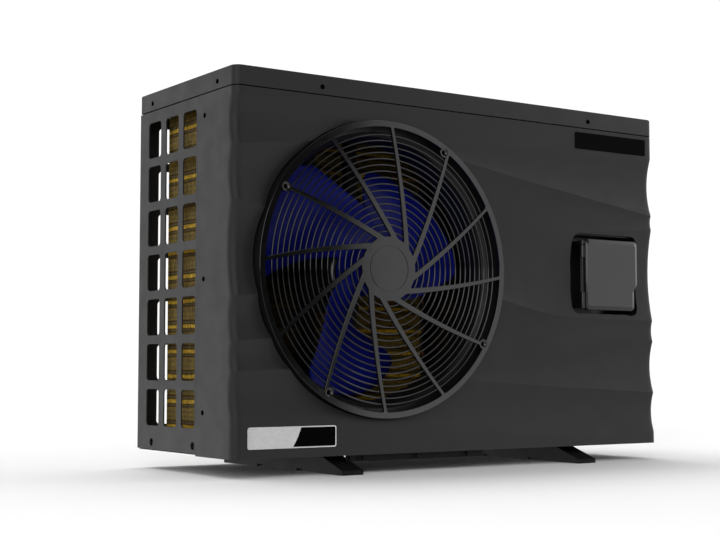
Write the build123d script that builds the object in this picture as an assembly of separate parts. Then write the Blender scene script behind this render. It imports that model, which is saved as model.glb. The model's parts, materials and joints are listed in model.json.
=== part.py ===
from build123d import *
from math import atan2, cos, degrees, hypot, radians, sin, sqrt
import os

# Pool heat pump unit.  Millimetres, +Z up, +X to the unit's right seen from the front, front = -Y.
# The origin is on the floor, at the middle of the unit's footprint.

os.makedirs("parts", exist_ok=True)

# ---------------------------------------------------------------- driving dimensions
BODY_W = 984.0          # casing width
BODY_D = 360.0          # casing depth without feet
BODY_H = 660.0          # casing bottom edge to lid top
FOOT_H = 33.0           # floor to casing bottom edge
FOOT_L = 416.0          # foot channel length, the unit's overall depth
FOOT_W = 44.0           # foot channel width
FOOT_X = 272.0          # foot centre line from the middle
SHEET = 1.5             # casing sheet thickness
CORNER_R = 15.0         # rounded vertical front corners
REAR_R = 4.0            # nearly square rear corners
LID_SKIRT = 34.0        # height of the lid's folded edge
LID_GAP = 2.0           # shadow gap under the lid
FRONT_RETURN = 130.0    # how far the front cover wraps round the sides
FRONT_T = 2.5           # front cover wall

FAN_X = -183.0          # fan axis
FAN_Z = FOOT_H + 326.0
RING_R = 265.0          # outer radius of the grille's rim
RIM_W = 11.0            # width of the rim's flat face
FAN_R = 226.0           # blade tip radius
BORE_R = 236.0          # shroud bore
HUB_R = 46.0            # impeller hub

CLEAR = 0.3             # running clearance between moving and fixed faces

# ---------------------------------------------------------------- derived places
X0, X1 = -BODY_W / 2, BODY_W / 2
Y0, Y1 = -BODY_D / 2, BODY_D / 2
ZB = FOOT_H                       # casing bottom
ZT = FOOT_H + BODY_H              # lid top
ZP = ZT - LID_SKIRT - LID_GAP     # top edge of the panels
Y_RET = Y0 + FRONT_RETURN         # seam between front cover and side panels
PAN_T = 1.5                       # base pan sheet
PAN_Z = ZB + 1.0                  # underside of the base pan floor
DECK = PAN_Z + PAN_T              # top of the base pan floor


# ---------------------------------------------------------------- small helpers
def block(x, y, z):
    """Box between the pairs x, y and z."""
    size = [b - a for a, b in (x, y, z)]
    mid = [(a + b) / 2 for a, b in (x, y, z)]
    return Pos(*mid) * Box(*size)


def rod_x(y, z, r, x):
    """Cylinder along X between the pair x."""
    return Pos((x[0] + x[1]) / 2, y, z) * Rot(0, 90, 0) * Cylinder(r, x[1] - x[0])


def rod_y(x, z, r, y):
    """Cylinder along Y between the pair y."""
    return Pos(x, (y[0] + y[1]) / 2, z) * Rot(90, 0, 0) * Cylinder(r, y[1] - y[0])


def rod_z(x, y, r, z):
    """Cylinder along Z between the pair z."""
    return Pos(x, y, (z[0] + z[1]) / 2) * Cylinder(r, z[1] - z[0])


def front_plate(x, z, r, y):
    """Rounded rectangle seen from the front, x and z pairs, extruded over the pair y."""
    outline = RectangleRounded(x[1] - x[0], z[1] - z[0], r)
    plane = Plane((0, y[1], 0), x_dir=(1, 0, 0), z_dir=(0, -1, 0))
    return extrude(plane * Pos((x[0] + x[1]) / 2, (z[0] + z[1]) / 2) * outline, y[1] - y[0])


def side_plate(y, z, r, x):
    """Rounded rectangle seen from the side, y and z pairs, extruded over the pair x."""
    outline = RectangleRounded(y[1] - y[0], z[1] - z[0], r)
    plane = Plane((x[0], 0, 0), x_dir=(0, 1, 0), z_dir=(1, 0, 0))
    return extrude(plane * Pos((y[0] + y[1]) / 2, (z[0] + z[1]) / 2) * outline, x[1] - x[0])


def plan_prism(inset, r, z):
    """Casing footprint, inset all round, with front corners of radius r, over the pair z."""
    outline = Rectangle(BODY_W - 2 * inset, BODY_D - 2 * inset)
    outline = fillet(outline.vertices().sort_by(Axis.Y)[:2], r)
    outline = fillet(outline.vertices().sort_by(Axis.Y)[-2:], max(REAR_R - inset, 1.0))
    return Pos(0, 0, z[0]) * extrude(outline, z[1] - z[0])


def tube(points, r, bend):
    """Round bar along a polyline with equal bends."""
    path = FilletPolyline(*points, radius=bend)
    return sweep(Plane(path @ 0, z_dir=path % 0) * Circle(r), path=path)


def group(*solids):
    """Several separate solids that share one node."""
    flat = []
    for item in solids:
        flat += list(item) if isinstance(item, (list, tuple)) else [item]
    return Compound(children=flat)


NODES = {}


def add(name, shape):
    NODES[name] = shape


# ---------------------------------------------------------------- base pan and feet
NOSE_H = 8.0            # upright tip of the foot channel
SLOPE_Y = 131.0         # where the sloping ends of a foot begin
FOOT_T = 2.0
ANCHOR_Y = 180.0        # anchor holes in the feet
ANCHOR_R = 5.0
TOOL_Y = 176.0          # small hole above each anchor hole
FOOT_FLANGE = 12.0      # width of each flange on the floor
FLANGE_GAP = 150.0      # half length of the gap between the flanges
NOTCH_Y = 70.0          # notches along the foot's bottom edges
FOOT_BOLTS = [(x, y) for x in (-FOOT_X, FOOT_X) for y in (-90.0, 90.0)]
HOLE_R = 4.2            # clearance hole of an M8 bolt
BOLT_R = 4.0
HEX_R = 6.5             # circumscribed radius of the M8 heads and nuts
BOLT_HEAD = 5.0


def foot(x):
    """Open-bottomed channel with sloping ends and inward flanges that rest on the floor."""
    half = FOOT_L / 2
    top = PAN_Z

    def hull(inset, width, z_low):
        pts = [(-half + inset, z_low), (half - inset, z_low), (half - inset, NOSE_H - inset),
               (SLOPE_Y - inset, top - inset), (-SLOPE_Y + inset, top - inset),
               (-half + inset, NOSE_H - inset)]
        face = Plane.YZ * make_face(Polyline(*pts, close=True))
        return Pos(x - width / 2, 0, 0) * extrude(face, width)

    body = hull(0, FOOT_W, 0) - hull(FOOT_T, FOOT_W - 2 * FOOT_T, FOOT_T)
    half_gap = FOOT_W / 2 - FOOT_FLANGE
    body -= block((x - half_gap, x + half_gap), (-FLANGE_GAP, FLANGE_GAP), (-1, FOOT_T + 1))
    for side in (-1, 1):
        body -= rod_z(x, side * ANCHOR_Y, ANCHOR_R, (-1, FOOT_T + 1))
        body -= rod_z(x, side * TOOL_Y, ANCHOR_R / 2, (FOOT_T + 4, top))
        notch_y = side * NOTCH_Y
        for edge in (-1, 1):
            wall = x + edge * FOOT_W / 2
            body -= block((wall - 3, wall + 3), (notch_y - 9, notch_y + 9), (-1, 5))
    for x_bolt, y_bolt in FOOT_BOLTS:
        if x_bolt == x:
            body -= rod_z(x, y_bolt, HOLE_R, (top - 4, top + 1))
    return body


def foot_bolts():
    """Hexagon bolts that hold the feet to the base pan, head above the pan."""
    bolts = []
    for x, y in FOOT_BOLTS:
        head = Pos(x, y, DECK) * extrude(RegularPolygon(HEX_R, 6), BOLT_HEAD)
        bolts.append(head + rod_z(x, y, BOLT_R, (PAN_Z - 14, DECK)))
    return group(bolts)


COMP_X, COMP_Y = 252.0, -45.0
COMP_FEET = [(COMP_X - 70, COMP_Y - 62), (COMP_X + 70, COMP_Y - 62), (COMP_X - 18, COMP_Y + 88)]
PAN_INSET = 3.0
PAN_RIM = 16.0
LIP_X = (-256.0, 40.0)  # front lip of the pan, below the fan
LIP_DROP = 13.0
LIP_SLOTS = (-235.0, -118.0, -3.0)
DRAIN_X, DRAIN_Y = -60.0, 60.0


def base_pan():
    pan = plan_prism(PAN_INSET, CORNER_R - PAN_INSET, (PAN_Z, PAN_Z + PAN_RIM))
    pan -= plan_prism(PAN_INSET + PAN_T, CORNER_R - PAN_INSET - PAN_T, (DECK, PAN_Z + 99))
    lip_y = Y0 + 2 * PAN_INSET
    lip = block(LIP_X, (lip_y, lip_y + PAN_T), (ZB - LIP_DROP, PAN_Z))
    for x in LIP_SLOTS:
        lip -= block((x - 8, x + 8), (lip_y - 1, lip_y + 3), (ZB - 10, ZB - 2))
    pan += lip
    for x, y in FOOT_BOLTS + COMP_FEET:
        pan -= rod_z(x, y, HOLE_R, (PAN_Z - 1, DECK + 1))
    pan -= rod_z(DRAIN_X, DRAIN_Y, 9.2, (PAN_Z - 1, DECK + 1))
    return pan


def drain_spout():
    """Barbed condensate drain that drops through the pan."""
    flange = rod_z(DRAIN_X, DRAIN_Y, 15, (DECK, DECK + 2))
    neck = rod_z(DRAIN_X, DRAIN_Y, 9, (ZB - 20, DECK))
    barb = Pos(DRAIN_X, DRAIN_Y, ZB - 16) * Cone(8, 10.5, 6)
    return flange + neck + barb - rod_z(DRAIN_X, DRAIN_Y, 6.5, (ZB - 40, DECK + 9))


add("base_pan", base_pan())
add("foot_left", foot(-FOOT_X))
add("foot_right", foot(FOOT_X))
add("foot_bolts", foot_bolts())
add("drain_spout", drain_spout())


# ---------------------------------------------------------------- front cover
# Crest heights above the casing bottom, listed from the left edge to the right edge.
CRESTS = {
    "crown": [(X0, 615), (-267, 590), (-3, 535), (X1, 460)],
    "brow": [(X0, 525), (-300, 548), (-17, 566), (X1, 580)],
    "upper_fall": [(X0, 437), (-418, 419), (82, 281), (260, 250), (X1, 247)],
    "upper_rise": [(X0, 271), (-431, 277), (83, 397), (X1, 435)],
    "lower_fall": [(X0, 196), (-406, 201), (7, 130), (X1, 101)],
    "lower_rise": [(X0, 146), (-384, 149), (24, 146), (222, 165), (X1, 208)],
    "foot": [(X0, 77), (-307, 65), (331, 19), (X1, 24)],
}
STATIONS = [-496, -430, -350, -250, -150, -50, 50, 150, 260, 370, 496]
CREST_GAP = 9.0         # least distance between neighbouring crests
SCALLOP_MAX = 11.0      # deepest hollow between crests
SCALLOP_RATIO = 0.14    # hollow depth per distance between crests
FAN_HOLE_R = RING_R + 1.0
TOP_FLANGE = 45.0       # depth of the folded flange along the top edge


def smooth_height(points, x):
    """Monotone cubic through the crest's points."""
    xs, zs = [p[0] for p in points], [p[1] for p in points]
    if x <= xs[0]:
        return zs[0]
    if x >= xs[-1]:
        return zs[-1]
    i = max(k for k in range(len(xs) - 1) if xs[k] <= x)
    slope = [(zs[k + 1] - zs[k]) / (xs[k + 1] - xs[k]) for k in range(len(xs) - 1)]
    tangent = [slope[0]]
    for a, b in zip(slope, slope[1:]):
        tangent.append(0 if a * b <= 0 else 2 * a * b / (a + b))
    tangent.append(slope[-1])
    h = xs[i + 1] - xs[i]
    t = (x - xs[i]) / h
    rise = (3 - 2 * t) * t * t * (zs[i + 1] - zs[i])
    bend = h * t * (1 - t) * ((1 - t) * tangent[i] - t * tangent[i + 1])
    return zs[i] + rise + bend


def crest_heights(x):
    """Sorted crest heights at x, kept apart by the least gap."""
    z = sorted(ZB + smooth_height(p, x) for p in CRESTS.values())
    for i in range(1, len(z)):
        z[i] = max(z[i], z[i - 1] + CREST_GAP)
    return z


def wave_section(x, setback, z_low, z_high, y_back):
    """Cross-section of the front cover at x: straight ends and hollows between crests."""
    y = Y0 + setback
    crests = crest_heights(x)
    edges = [Line((y, z_low), (y, crests[0]))]
    for low, high in zip(crests, crests[1:]):
        depth = min(SCALLOP_MAX, SCALLOP_RATIO * (high - low))
        edges.append(ThreePointArc((y, low), (y + depth, (low + high) / 2), (y, high)))
    edges += [Line((y, crests[-1]), (y, z_high)), Line((y, z_high), (y_back, z_high)),
              Line((y_back, z_high), (y_back, z_low)), Line((y_back, z_low), (y, z_low))]
    return Plane((x, 0, 0), x_dir=(0, 1, 0), z_dir=(1, 0, 0)) * make_face(Wire(edges))


def wave_solid(setback, z_low, z_high, y_back):
    return loft([wave_section(x, setback, z_low, z_high, y_back) for x in STATIONS])


POCKET_X = (268.0, 446.0)
POCKET_Z = (ZB + 255.0, ZB + 415.0)
POCKET_R = 18.0


def front_panel():
    shell = wave_solid(0, ZB, ZP, Y_RET) & plan_prism(0, CORNER_R, (ZB - 1, ZP + 1))
    core = wave_solid(FRONT_T, ZB - 5, ZP - FRONT_T, Y_RET + 5)
    core &= plan_prism(FRONT_T, CORNER_R - FRONT_T, (ZB - 4, ZP))
    shell -= core
    shell -= block((X0 + FRONT_T, X1 - FRONT_T), (Y0 + TOP_FLANGE, Y1), (ZB - 1, ZP + 1))
    shell -= rod_y(FAN_X, FAN_Z, FAN_HOLE_R, (Y0 - 20, Y0 + 30))
    shell -= front_plate(POCKET_X, POCKET_Z, POCKET_R, (Y0 - 20, Y0 + 30))
    return shell


add("front_panel", front_panel())


# ---------------------------------------------------------------- lid
def top_cover():
    lid = plan_prism(0, CORNER_R, (ZT - LID_SKIRT, ZT))
    top = lid.faces().sort_by(Axis.Z)[-1]
    lid = fillet(top.edges(), 3.0)
    lid -= plan_prism(SHEET, CORNER_R - SHEET, (ZT - LID_SKIRT - 1, ZT - SHEET))
    return lid


add("top_cover", top_cover())


# ---------------------------------------------------------------- grille panels
OPEN_H = 66.0           # air opening height
OPEN_PITCH = 81.8       # rows of openings
OPEN_TOP = ZB + 603.8   # top edge of the first row
OPEN_ROWS = 7
OPEN_R = 7.0
OPEN_W = 50.0
SIDE_COLUMNS = [-20.0, 49.0, 119.0]     # centre of each column from front to rear
PANEL_RAISE = 3.0       # side and rear panels end a little higher than the front cover
TAB_Z = (ZB + 30.0, ZP - 30.0)          # tabs of the side panels behind the front cover
PLUG_YS = (-39.0, 122.0)                # lifting holes low on the left side


def row_spans():
    tops = [OPEN_TOP - OPEN_PITCH * k for k in range(OPEN_ROWS)]
    return [(top - OPEN_H, top) for top in tops]


def left_grille_panel():
    panel = block((X0, X0 + SHEET), (Y_RET + 0.5, Y1), (ZB + PANEL_RAISE, ZP))
    for span in row_spans():
        for y in SIDE_COLUMNS:
            panel -= side_plate((y - OPEN_W / 2, y + OPEN_W / 2), span, OPEN_R, (X0 - 1, X0 + 3))
    for y in PLUG_YS:
        panel -= rod_x(y, ZB + 17, 7, (X0 - 1, X0 + 3))
    tab_x = X0 + FRONT_T + 0.2
    panel += block((X0 + SHEET, X0 + 14), (Y1 - SHEET, Y1), (ZB + PANEL_RAISE, ZP))
    panel += block((tab_x, tab_x + SHEET), (Y_RET - 14, Y_RET + 0.5), TAB_Z)
    panel += block((X0, tab_x + SHEET), (Y_RET + 0.5, Y_RET + 0.5 + SHEET), TAB_Z)
    return panel


REAR_SPLIT = 150.0      # the coil side of the rear ends here
REAR_COLUMNS = 8


def rear_grille_panel():
    left = X0 + 14.4
    panel = block((left, REAR_SPLIT - 0.3), (Y1 - SHEET, Y1), (ZB + PANEL_RAISE, ZP))
    pitch = (REAR_SPLIT - left - 26) / REAR_COLUMNS
    for k in range(REAR_COLUMNS):
        x = left + 14 + pitch * (k + 0.5)
        for span in row_spans():
            wide = (x - pitch / 2 + 9, x + pitch / 2 - 9)
            panel -= front_plate(wide, span, OPEN_R, (Y1 - 4, Y1 + 2))
    return panel


add("left_grille_panel", left_grille_panel())
add("rear_grille_panel", rear_grille_panel())

WATER_X = 400.0         # both water connections, one above the other
WATER_LOW = ZB + 90.0
WATER_HIGH = ZB + 350.0
PIPE_R = 25.0           # 50 mm pipe
GLAND_XS = (215.0, 260.0)
GLAND_Z = ZB + 470.0
ACCESS_Y = (-28.0, 152.0)
ACCESS_Z = (ZB + 430.0, ZB + 560.0)
VENT_SLOTS = 6
VENT_PITCH = 14.0
VENT_Y = (20.0, 120.0)
VENT_Z = ZB + 60.0


def right_panel():
    """Sheet that closes the right side, with the wiring cut-out and low vent slots."""
    tab_x = X1 - FRONT_T - 0.2
    panel = block((X1 - SHEET, X1), (Y_RET + 0.5, Y1), (ZB + PANEL_RAISE, ZP))
    panel += block((tab_x - SHEET, tab_x), (Y_RET - 14, Y_RET + 0.5), TAB_Z)
    panel += block((tab_x - SHEET, X1), (Y_RET + 0.5, Y_RET + 0.5 + SHEET), TAB_Z)
    panel -= side_plate((ACCESS_Y[0] + 12, ACCESS_Y[1] - 12), (ACCESS_Z[0] + 12, ACCESS_Z[1] - 12),
                        6, (X1 - 4, X1 + 1))
    for k in range(VENT_SLOTS):
        z_slot = VENT_Z + VENT_PITCH * k
        panel -= side_plate(VENT_Y, (z_slot - 2.5, z_slot + 2.5), 2.4, (X1 - 4, X1 + 1))
    return panel


def rear_service_panel():
    """Flat sheet behind the compressor side, with the water and cable holes."""
    panel = block((REAR_SPLIT, X1 - SHEET), (Y1 - SHEET, Y1), (ZB + PANEL_RAISE, ZP))
    for z_water in (WATER_LOW, WATER_HIGH):
        panel -= rod_y(WATER_X, z_water, PIPE_R + 5, (Y1 - 4, Y1 + 2))
    for x in GLAND_XS:
        panel -= rod_y(x, GLAND_Z, 10.2, (Y1 - 4, Y1 + 2))
    return panel


def access_cover():
    """Wiring cover behind the panel's cut-out, flush with the side."""
    plate = side_plate((ACCESS_Y[0] + 12.5, ACCESS_Y[1] - 12.5),
                       (ACCESS_Z[0] + 12.5, ACCESS_Z[1] - 12.5), 5.5, (X1 - SHEET, X1))
    rim = side_plate(ACCESS_Y, ACCESS_Z, 8, (X1 - 2 * SHEET, X1 - SHEET))
    return plate + rim


add("right_panel", right_panel())
add("rear_service_panel", rear_service_panel())
add("access_cover", access_cover())


def partition_panel():
    """Wall between the air side and the compressor side."""
    x = REAR_SPLIT - 12
    wall = block((x, x + SHEET), (Y0 + 20, Y1 - 6), (DECK, ZP - 4))
    foot_flange = block((x + SHEET, x + 16), (Y0 + 20, Y1 - 6), (DECK, DECK + SHEET))
    return wall + foot_flange


add("partition_panel", partition_panel())


# ---------------------------------------------------------------- casing screws
SIDE_SCREWS_Y = -75.0
SCREW_ROWS = [ZB + 75.0, ZB + 304.0, ZB + 588.0]
LID_SCREW_Z = ZT - 21.0


def casing_screws():
    """Countersunk heads, flush with the panels they hold."""
    screws = []
    head = 1.2
    for side in (-1, 1):
        face = side * BODY_W / 2
        for y, z in [(SIDE_SCREWS_Y, z) for z in SCREW_ROWS]:
            screws.append(rod_x(y, z, 4.0, sorted((face, face - side * head))))
        for y in (130, -120):
            screws.append(rod_x(y, LID_SCREW_Z, 4.0, sorted((face, face - side * head))))
    for x in (-317, 311):
        screws.append(rod_y(x, LID_SCREW_Z, 4.0, (Y0, Y0 + head)))
        screws.append(rod_y(x, LID_SCREW_Z, 4.0, (Y1 - head, Y1)))
    for x in (X0 + 26, -170, 140, 170, 330, X1 - 20):
        for z in (ZB + 22, ZP - 10):
            screws.append(rod_y(x, z, 4.0, (Y1 - head, Y1)))
    return screws


SCREWS = casing_screws()
for node in ("front_panel", "top_cover", "right_panel", "rear_service_panel", "rear_grille_panel"):
    for cutter in SCREWS:
        box_s, box_n = cutter.bounding_box(), NODES[node].bounding_box()
        touching = all(getattr(box_s.min, a) < getattr(box_n.max, a)
                       and getattr(box_s.max, a) > getattr(box_n.min, a) for a in "XYZ")
        if touching:
            NODES[node] -= cutter
add("casing_screws", group(SCREWS))


# ---------------------------------------------------------------- fan shroud
Y_RING = Y0 - 11.5      # front face of the grille
SHROUD_BACK = Y0 + 85.0


def spin(points):
    """Turn an outline of (radius, y) points about the fan axis."""
    face = make_face(Polyline(*[(r, y, 0) for r, y in points], close=True))
    turned = revolve(face, Axis.Y, 360)
    return Pos(FAN_X, 0, FAN_Z) * turned


def fan_shroud():
    """Collar through the front cover, stepped bellmouth and bore."""
    step_y = Y0 + 22
    profile = [(RING_R - 1, Y_RING + 6), (RING_R - 1, Y0 + 18), (RING_R + 20, Y0 + 18),
               (RING_R + 20, Y0 + 20.5), (RING_R - 8, Y0 + 20.5), (BORE_R + 6, step_y + 6),
               (BORE_R + 2.5, step_y + 16), (BORE_R + 2.5, SHROUD_BACK), (BORE_R, SHROUD_BACK),
               (BORE_R, step_y + 14), (BORE_R + 4, step_y + 3), (BORE_R + 12, Y0 + 16),
               (RING_R - 3.5, Y0 + 16), (RING_R - 3.5, Y_RING + 6)]
    ring = spin(profile)
    trim = block((X0 - 50, X0 + 6), (Y0, Y1), (ZB, ZT))
    trim += block((REAR_SPLIT - 14, X1), (Y0, Y1), (ZB, ZT))
    trim += block((X0, X1), (Y0, Y1), (0, DECK + 26))
    return ring - trim


add("fan_shroud", fan_shroud())


# ---------------------------------------------------------------- fan grille
WIRE_COUNT = 16
WIRE_R0 = 239.6         # outermost wire
WIRE_W = 3.0
DISC_R = 57.5           # flat centre disc
SPOKE_ROOT = 12.0       # how far a spoke reaches into the disc
SPOKES = 12
SPOKE_SWIRL = 60.0      # degrees from hub end to rim end
SPOKE_TURN = -1.5       # angle of the first spoke's rim end
SPOKE_HALF = (5.4, 2.9)  # half width of a spoke at the hub and at the rim
SPOKE_BOW = 5.0
GRILLE_T = 6.0          # depth of the disc, the rim, the spokes and the wires
GROOVE_R = 41.0         # fine groove round the disc
BOSS_R = 9.0
BOSS_AT = 251.0         # radius of the screw places
BOSS_ANGLES = (60.3, 148.2, 240.0, 328.4)
SINK_R = 6.4            # countersink of the screw places
SINK_DEPTH = 3.0
HEAD_R = 3.2


def wire_radius(k):
    return WIRE_R0 - 10.43 * k - 0.0737 * k * k


def spoke_outline(k):
    """One tapered, slightly bowed spoke as seen from the front."""
    a_rim = radians(SPOKE_TURN + 360 / SPOKES * k)
    a_hub = a_rim + radians(-SPOKE_SWIRL)
    r_hub, r_rim = DISC_R - SPOKE_ROOT, RING_R - RIM_W + 2
    hub = Vector(r_hub * cos(a_hub), r_hub * sin(a_hub))
    rim = Vector(r_rim * cos(a_rim), r_rim * sin(a_rim))
    along = (rim - hub).normalized()
    across = Vector(-along.Y, along.X)
    w_hub, w_rim = SPOKE_HALF
    mid = (hub + rim) * 0.5 - across * SPOKE_BOW
    w_mid = (w_hub + w_rim) / 2
    pts_a = (hub + across * w_hub, mid + across * w_mid, rim + across * w_rim)
    pts_b = (rim - across * w_rim, mid - across * w_mid, hub - across * w_hub)
    edges = [ThreePointArc(*pts_a), Line(pts_a[2], pts_b[0]), ThreePointArc(*pts_b),
             Line(pts_b[2], pts_a[0])]
    return make_face(Wire(edges))


def boss_places():
    """Screw places (x, z) on the grille's rim, at the ends of four spokes."""
    for angle in BOSS_ANGLES:
        a = radians(angle)
        yield FAN_X + BOSS_AT * cos(a), FAN_Z + BOSS_AT * sin(a)


def fan_grille():
    pattern = Circle(DISC_R)
    for k in range(SPOKES):
        pattern += spoke_outline(k)
    for k in range(WIRE_COUNT):
        r = wire_radius(k)
        if r > DISC_R + WIRE_W:
            pattern += Circle(r + WIRE_W / 2) - Circle(r - WIRE_W / 2)
    pattern += Circle(RING_R) - Circle(RING_R - RIM_W)
    for angle in BOSS_ANGLES:
        pattern += Rot(0, 0, angle) * Pos(BOSS_AT, 0) * Circle(BOSS_R)
    y_back = Y_RING + GRILLE_T
    plane = Plane((FAN_X, y_back, FAN_Z), x_dir=(1, 0, 0), z_dir=(0, -1, 0))
    body = extrude(plane * pattern, GRILLE_T, dir=(0, -1, 0))
    for x, z in boss_places():
        sink = Pos(x, Y_RING + SINK_DEPTH / 2, z) * Rot(90, 0, 0) * Cone(HEAD_R, SINK_R, SINK_DEPTH)
        body -= sink + rod_y(x, z, HEAD_R, (Y_RING + 1, Y_RING + 4.5))
        body -= rod_y(x, z, 2.6, (Y_RING, y_back + 1))
    groove = rod_y(FAN_X, FAN_Z, GROOVE_R + 0.8, (Y_RING - 1, Y_RING + 1))
    groove -= rod_y(FAN_X, FAN_Z, GROOVE_R - 0.8, (Y_RING - 2, Y_RING + 2))
    return body - groove


def grille_screws():
    screws = []
    for x, z in boss_places():
        head = rod_y(x, z, HEAD_R - 0.2, (Y_RING + 2.5, Y_RING + 4.5))
        screws.append(head + rod_y(x, z, 2.5, (Y_RING + 4.5, Y_RING + 13)))
    return group(screws)


add("fan_grille", fan_grille())
add("grille_screws", grille_screws())


# ---------------------------------------------------------------- fan, motor and bracket
SHAFT_R = 6.0
HUB_FRONT = Y0 + 28.0
HUB_BACK = Y0 + 92.0
MOTOR_Y = (Y0 + 104.0, Y0 + 176.0)
MOTOR_R = 48.0
LUG_AT = 50.0           # radius of the motor's mounting lugs
LUG_R = 9.0
HUB_WALL = 5.0
HUB_FACE = 14.0         # thickness of the hub's front
SLEEVE_R = 14.0
BLADES = 3
BLADE_T = 3.0
BLADE_SAG = 7.0
BLADE_STEPS = 6
# Radius, then angle and depth of the front edge, then angle and depth of the rear edge.
BLADE = [
    (HUB_R - 3, 71, -135, 149, -97),
    (70.0, 80, -133, 160, -52),
    (100.0, 90, -132, 172, -22),
    (131.0, 103, -129, 180, -15),
    (160.0, 111, -120, 186, -13),
    (190.0, 116, -110, 190, -13),
    (FAN_R + 3, 119, -95, 189, -13),
]


def blade():
    """One swept blade: a curved sheet through its front and rear edges, thickened."""
    rows = []
    for r, a_front, y_front, a_rear, y_rear in BLADE:
        row = []
        for k in range(BLADE_STEPS + 1):
            t = k / BLADE_STEPS
            a = radians(a_front + (a_rear - a_front) * t)
            y = y_front + (y_rear - y_front) * t - BLADE_SAG * 4 * t * (1 - t)
            row.append(Vector(r * cos(a), y, r * sin(a)))
        rows.append(row)
    sheet = Face.make_surface_from_array_of_points(rows)
    return thicken(sheet, BLADE_T / 2, both=True)


def fan_impeller():
    hub = rod_y(0, 0, HUB_R, (HUB_FRONT, HUB_BACK))
    hub = fillet(hub.edges().sort_by(Axis.Y)[0], 6)
    hollow = rod_y(0, 0, HUB_R - HUB_WALL, (HUB_FRONT + HUB_FACE, HUB_BACK + 1))
    hollow -= rod_y(0, 0, SLEEVE_R, (HUB_FRONT, HUB_BACK + 2))
    wheel = hub
    for k in range(BLADES):
        wheel += Rot(0, -360 / BLADES * k, 0) * blade()
    wheel -= hollow
    wheel -= rod_y(0, 0, SHAFT_R + 0.01, (HUB_FRONT - 5, HUB_BACK + 5))
    wheel &= rod_y(0, 0, FAN_R, (HUB_FRONT - 50, 0))
    return Pos(FAN_X, 0, FAN_Z) * wheel


def motor_shaft():
    return rod_y(FAN_X, FAN_Z, SHAFT_R, (HUB_FRONT - 12, MOTOR_Y[1] - 8))


def fan_nut():
    nut = Rot(90, 0, 0) * extrude(RegularPolygon(11, 6), 8)
    nut -= rod_y(0, 0, SHAFT_R + 0.01, (-20, 20))
    return Pos(FAN_X, HUB_FRONT - 0.02, FAN_Z) * nut


def fan_motor():
    can = rod_y(FAN_X, FAN_Z, MOTOR_R, MOTOR_Y)
    can = fillet(can.edges(), 6)
    can += rod_y(FAN_X, FAN_Z, 20, (MOTOR_Y[0] - 6, MOTOR_Y[0] + 4))
    for a in (45, 135, 225, 315):
        x, z = FAN_X + LUG_AT * cos(radians(a)), FAN_Z + LUG_AT * sin(radians(a))
        can += rod_y(x, z, LUG_R, (MOTOR_Y[1] - 24, MOTOR_Y[1] - 16))
    can -= rod_y(FAN_X, FAN_Z, SHAFT_R + 0.05, (MOTOR_Y[0] - 20, MOTOR_Y[1] - 7.9))
    return can


RAIL_X = 46.0
RAIL_W = 20.0
RAIL_Y = (MOTOR_Y[1] + 1.0, MOTOR_Y[1] + 19.0)


def motor_bracket():
    """Two uprights from the base pan to the top, joined by plates that carry the motor."""
    z = (DECK, ZP - 8)
    body = None
    for side in (-1, 1):
        x = FAN_X + side * RAIL_X
        rail = block((x - RAIL_W / 2, x + RAIL_W / 2), RAIL_Y, z)
        inner = RAIL_W / 2 - 2
        rail -= block((x - inner, x + inner), (RAIL_Y[0] + 2, RAIL_Y[1] + 1), (z[0] - 1, z[1] + 1))
        body = rail if body is None else body + rail
    plate = (RAIL_Y[0] - 1.0, RAIL_Y[0])
    body += block((FAN_X - 62, FAN_X + 62), plate, (FAN_Z - 70, FAN_Z + 70))
    body -= rod_y(FAN_X, FAN_Z, 26, (RAIL_Y[0] - 3, RAIL_Y[0] + 1))
    return body


add("fan_impeller", fan_impeller())
add("motor_shaft", motor_shaft())
add("fan_nut", fan_nut())
add("fan_motor", fan_motor())
add("motor_bracket", motor_bracket())


# ---------------------------------------------------------------- evaporator
COIL_X = X0 + 26.0      # outer face of the short leg
COIL_Y = Y1 - 23.0      # outer face of the long leg
COIL_T = 38.0
COIL_R = 58.0           # outer bend radius
COIL_Z = (DECK + 6.0, ZP - 5.0)
COIL_END_X = REAR_SPLIT - 34.0
COIL_END_Y = Y0 + 90.0
TUBE_R = 4.0
TUBE_PITCH = 25.4


def l_outline(inset_out, inset_in, trim):
    """Plan of the L-shaped coil: the band between two offsets of its outer line."""
    xo, yo = COIL_X + inset_out, COIL_Y - inset_out
    xi, yi = COIL_X + COIL_T - inset_in, COIL_Y - COIL_T + inset_in
    ro = COIL_R - inset_out
    ri = COIL_R - COIL_T + inset_in
    ex, ey = COIL_END_X - trim, COIL_END_Y + trim
    corner = (COIL_X + COIL_R, COIL_Y - COIL_R)
    k = sqrt(0.5)
    edges = [Line((xo, ey), (xo, corner[1])),
             ThreePointArc((xo, corner[1]), (corner[0] - ro * k, corner[1] + ro * k), (corner[0], yo)),
             Line((corner[0], yo), (ex, yo)), Line((ex, yo), (ex, yi)), Line((ex, yi), (corner[0], yi)),
             ThreePointArc((corner[0], yi), (corner[0] - ri * k, corner[1] + ri * k), (xi, corner[1])),
             Line((xi, corner[1]), (xi, ey)), Line((xi, ey), (xo, ey))]
    return make_face(Wire(edges))


def coil_fins():
    return Pos(0, 0, COIL_Z[0]) * extrude(l_outline(0, 0, 0), COIL_Z[1] - COIL_Z[0])


def end_plate(x, y):
    return block(x, y, (COIL_Z[0] - 4, COIL_Z[1] + 4))


def coil_end_plates():
    rear = end_plate((COIL_END_X, COIL_END_X + 1.5), (COIL_Y - COIL_T - 4, COIL_Y + 4))
    side = end_plate((COIL_X - 4, COIL_X + COIL_T + 4), (COIL_END_Y - 1.5, COIL_END_Y))
    return group(rear, side)


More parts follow.
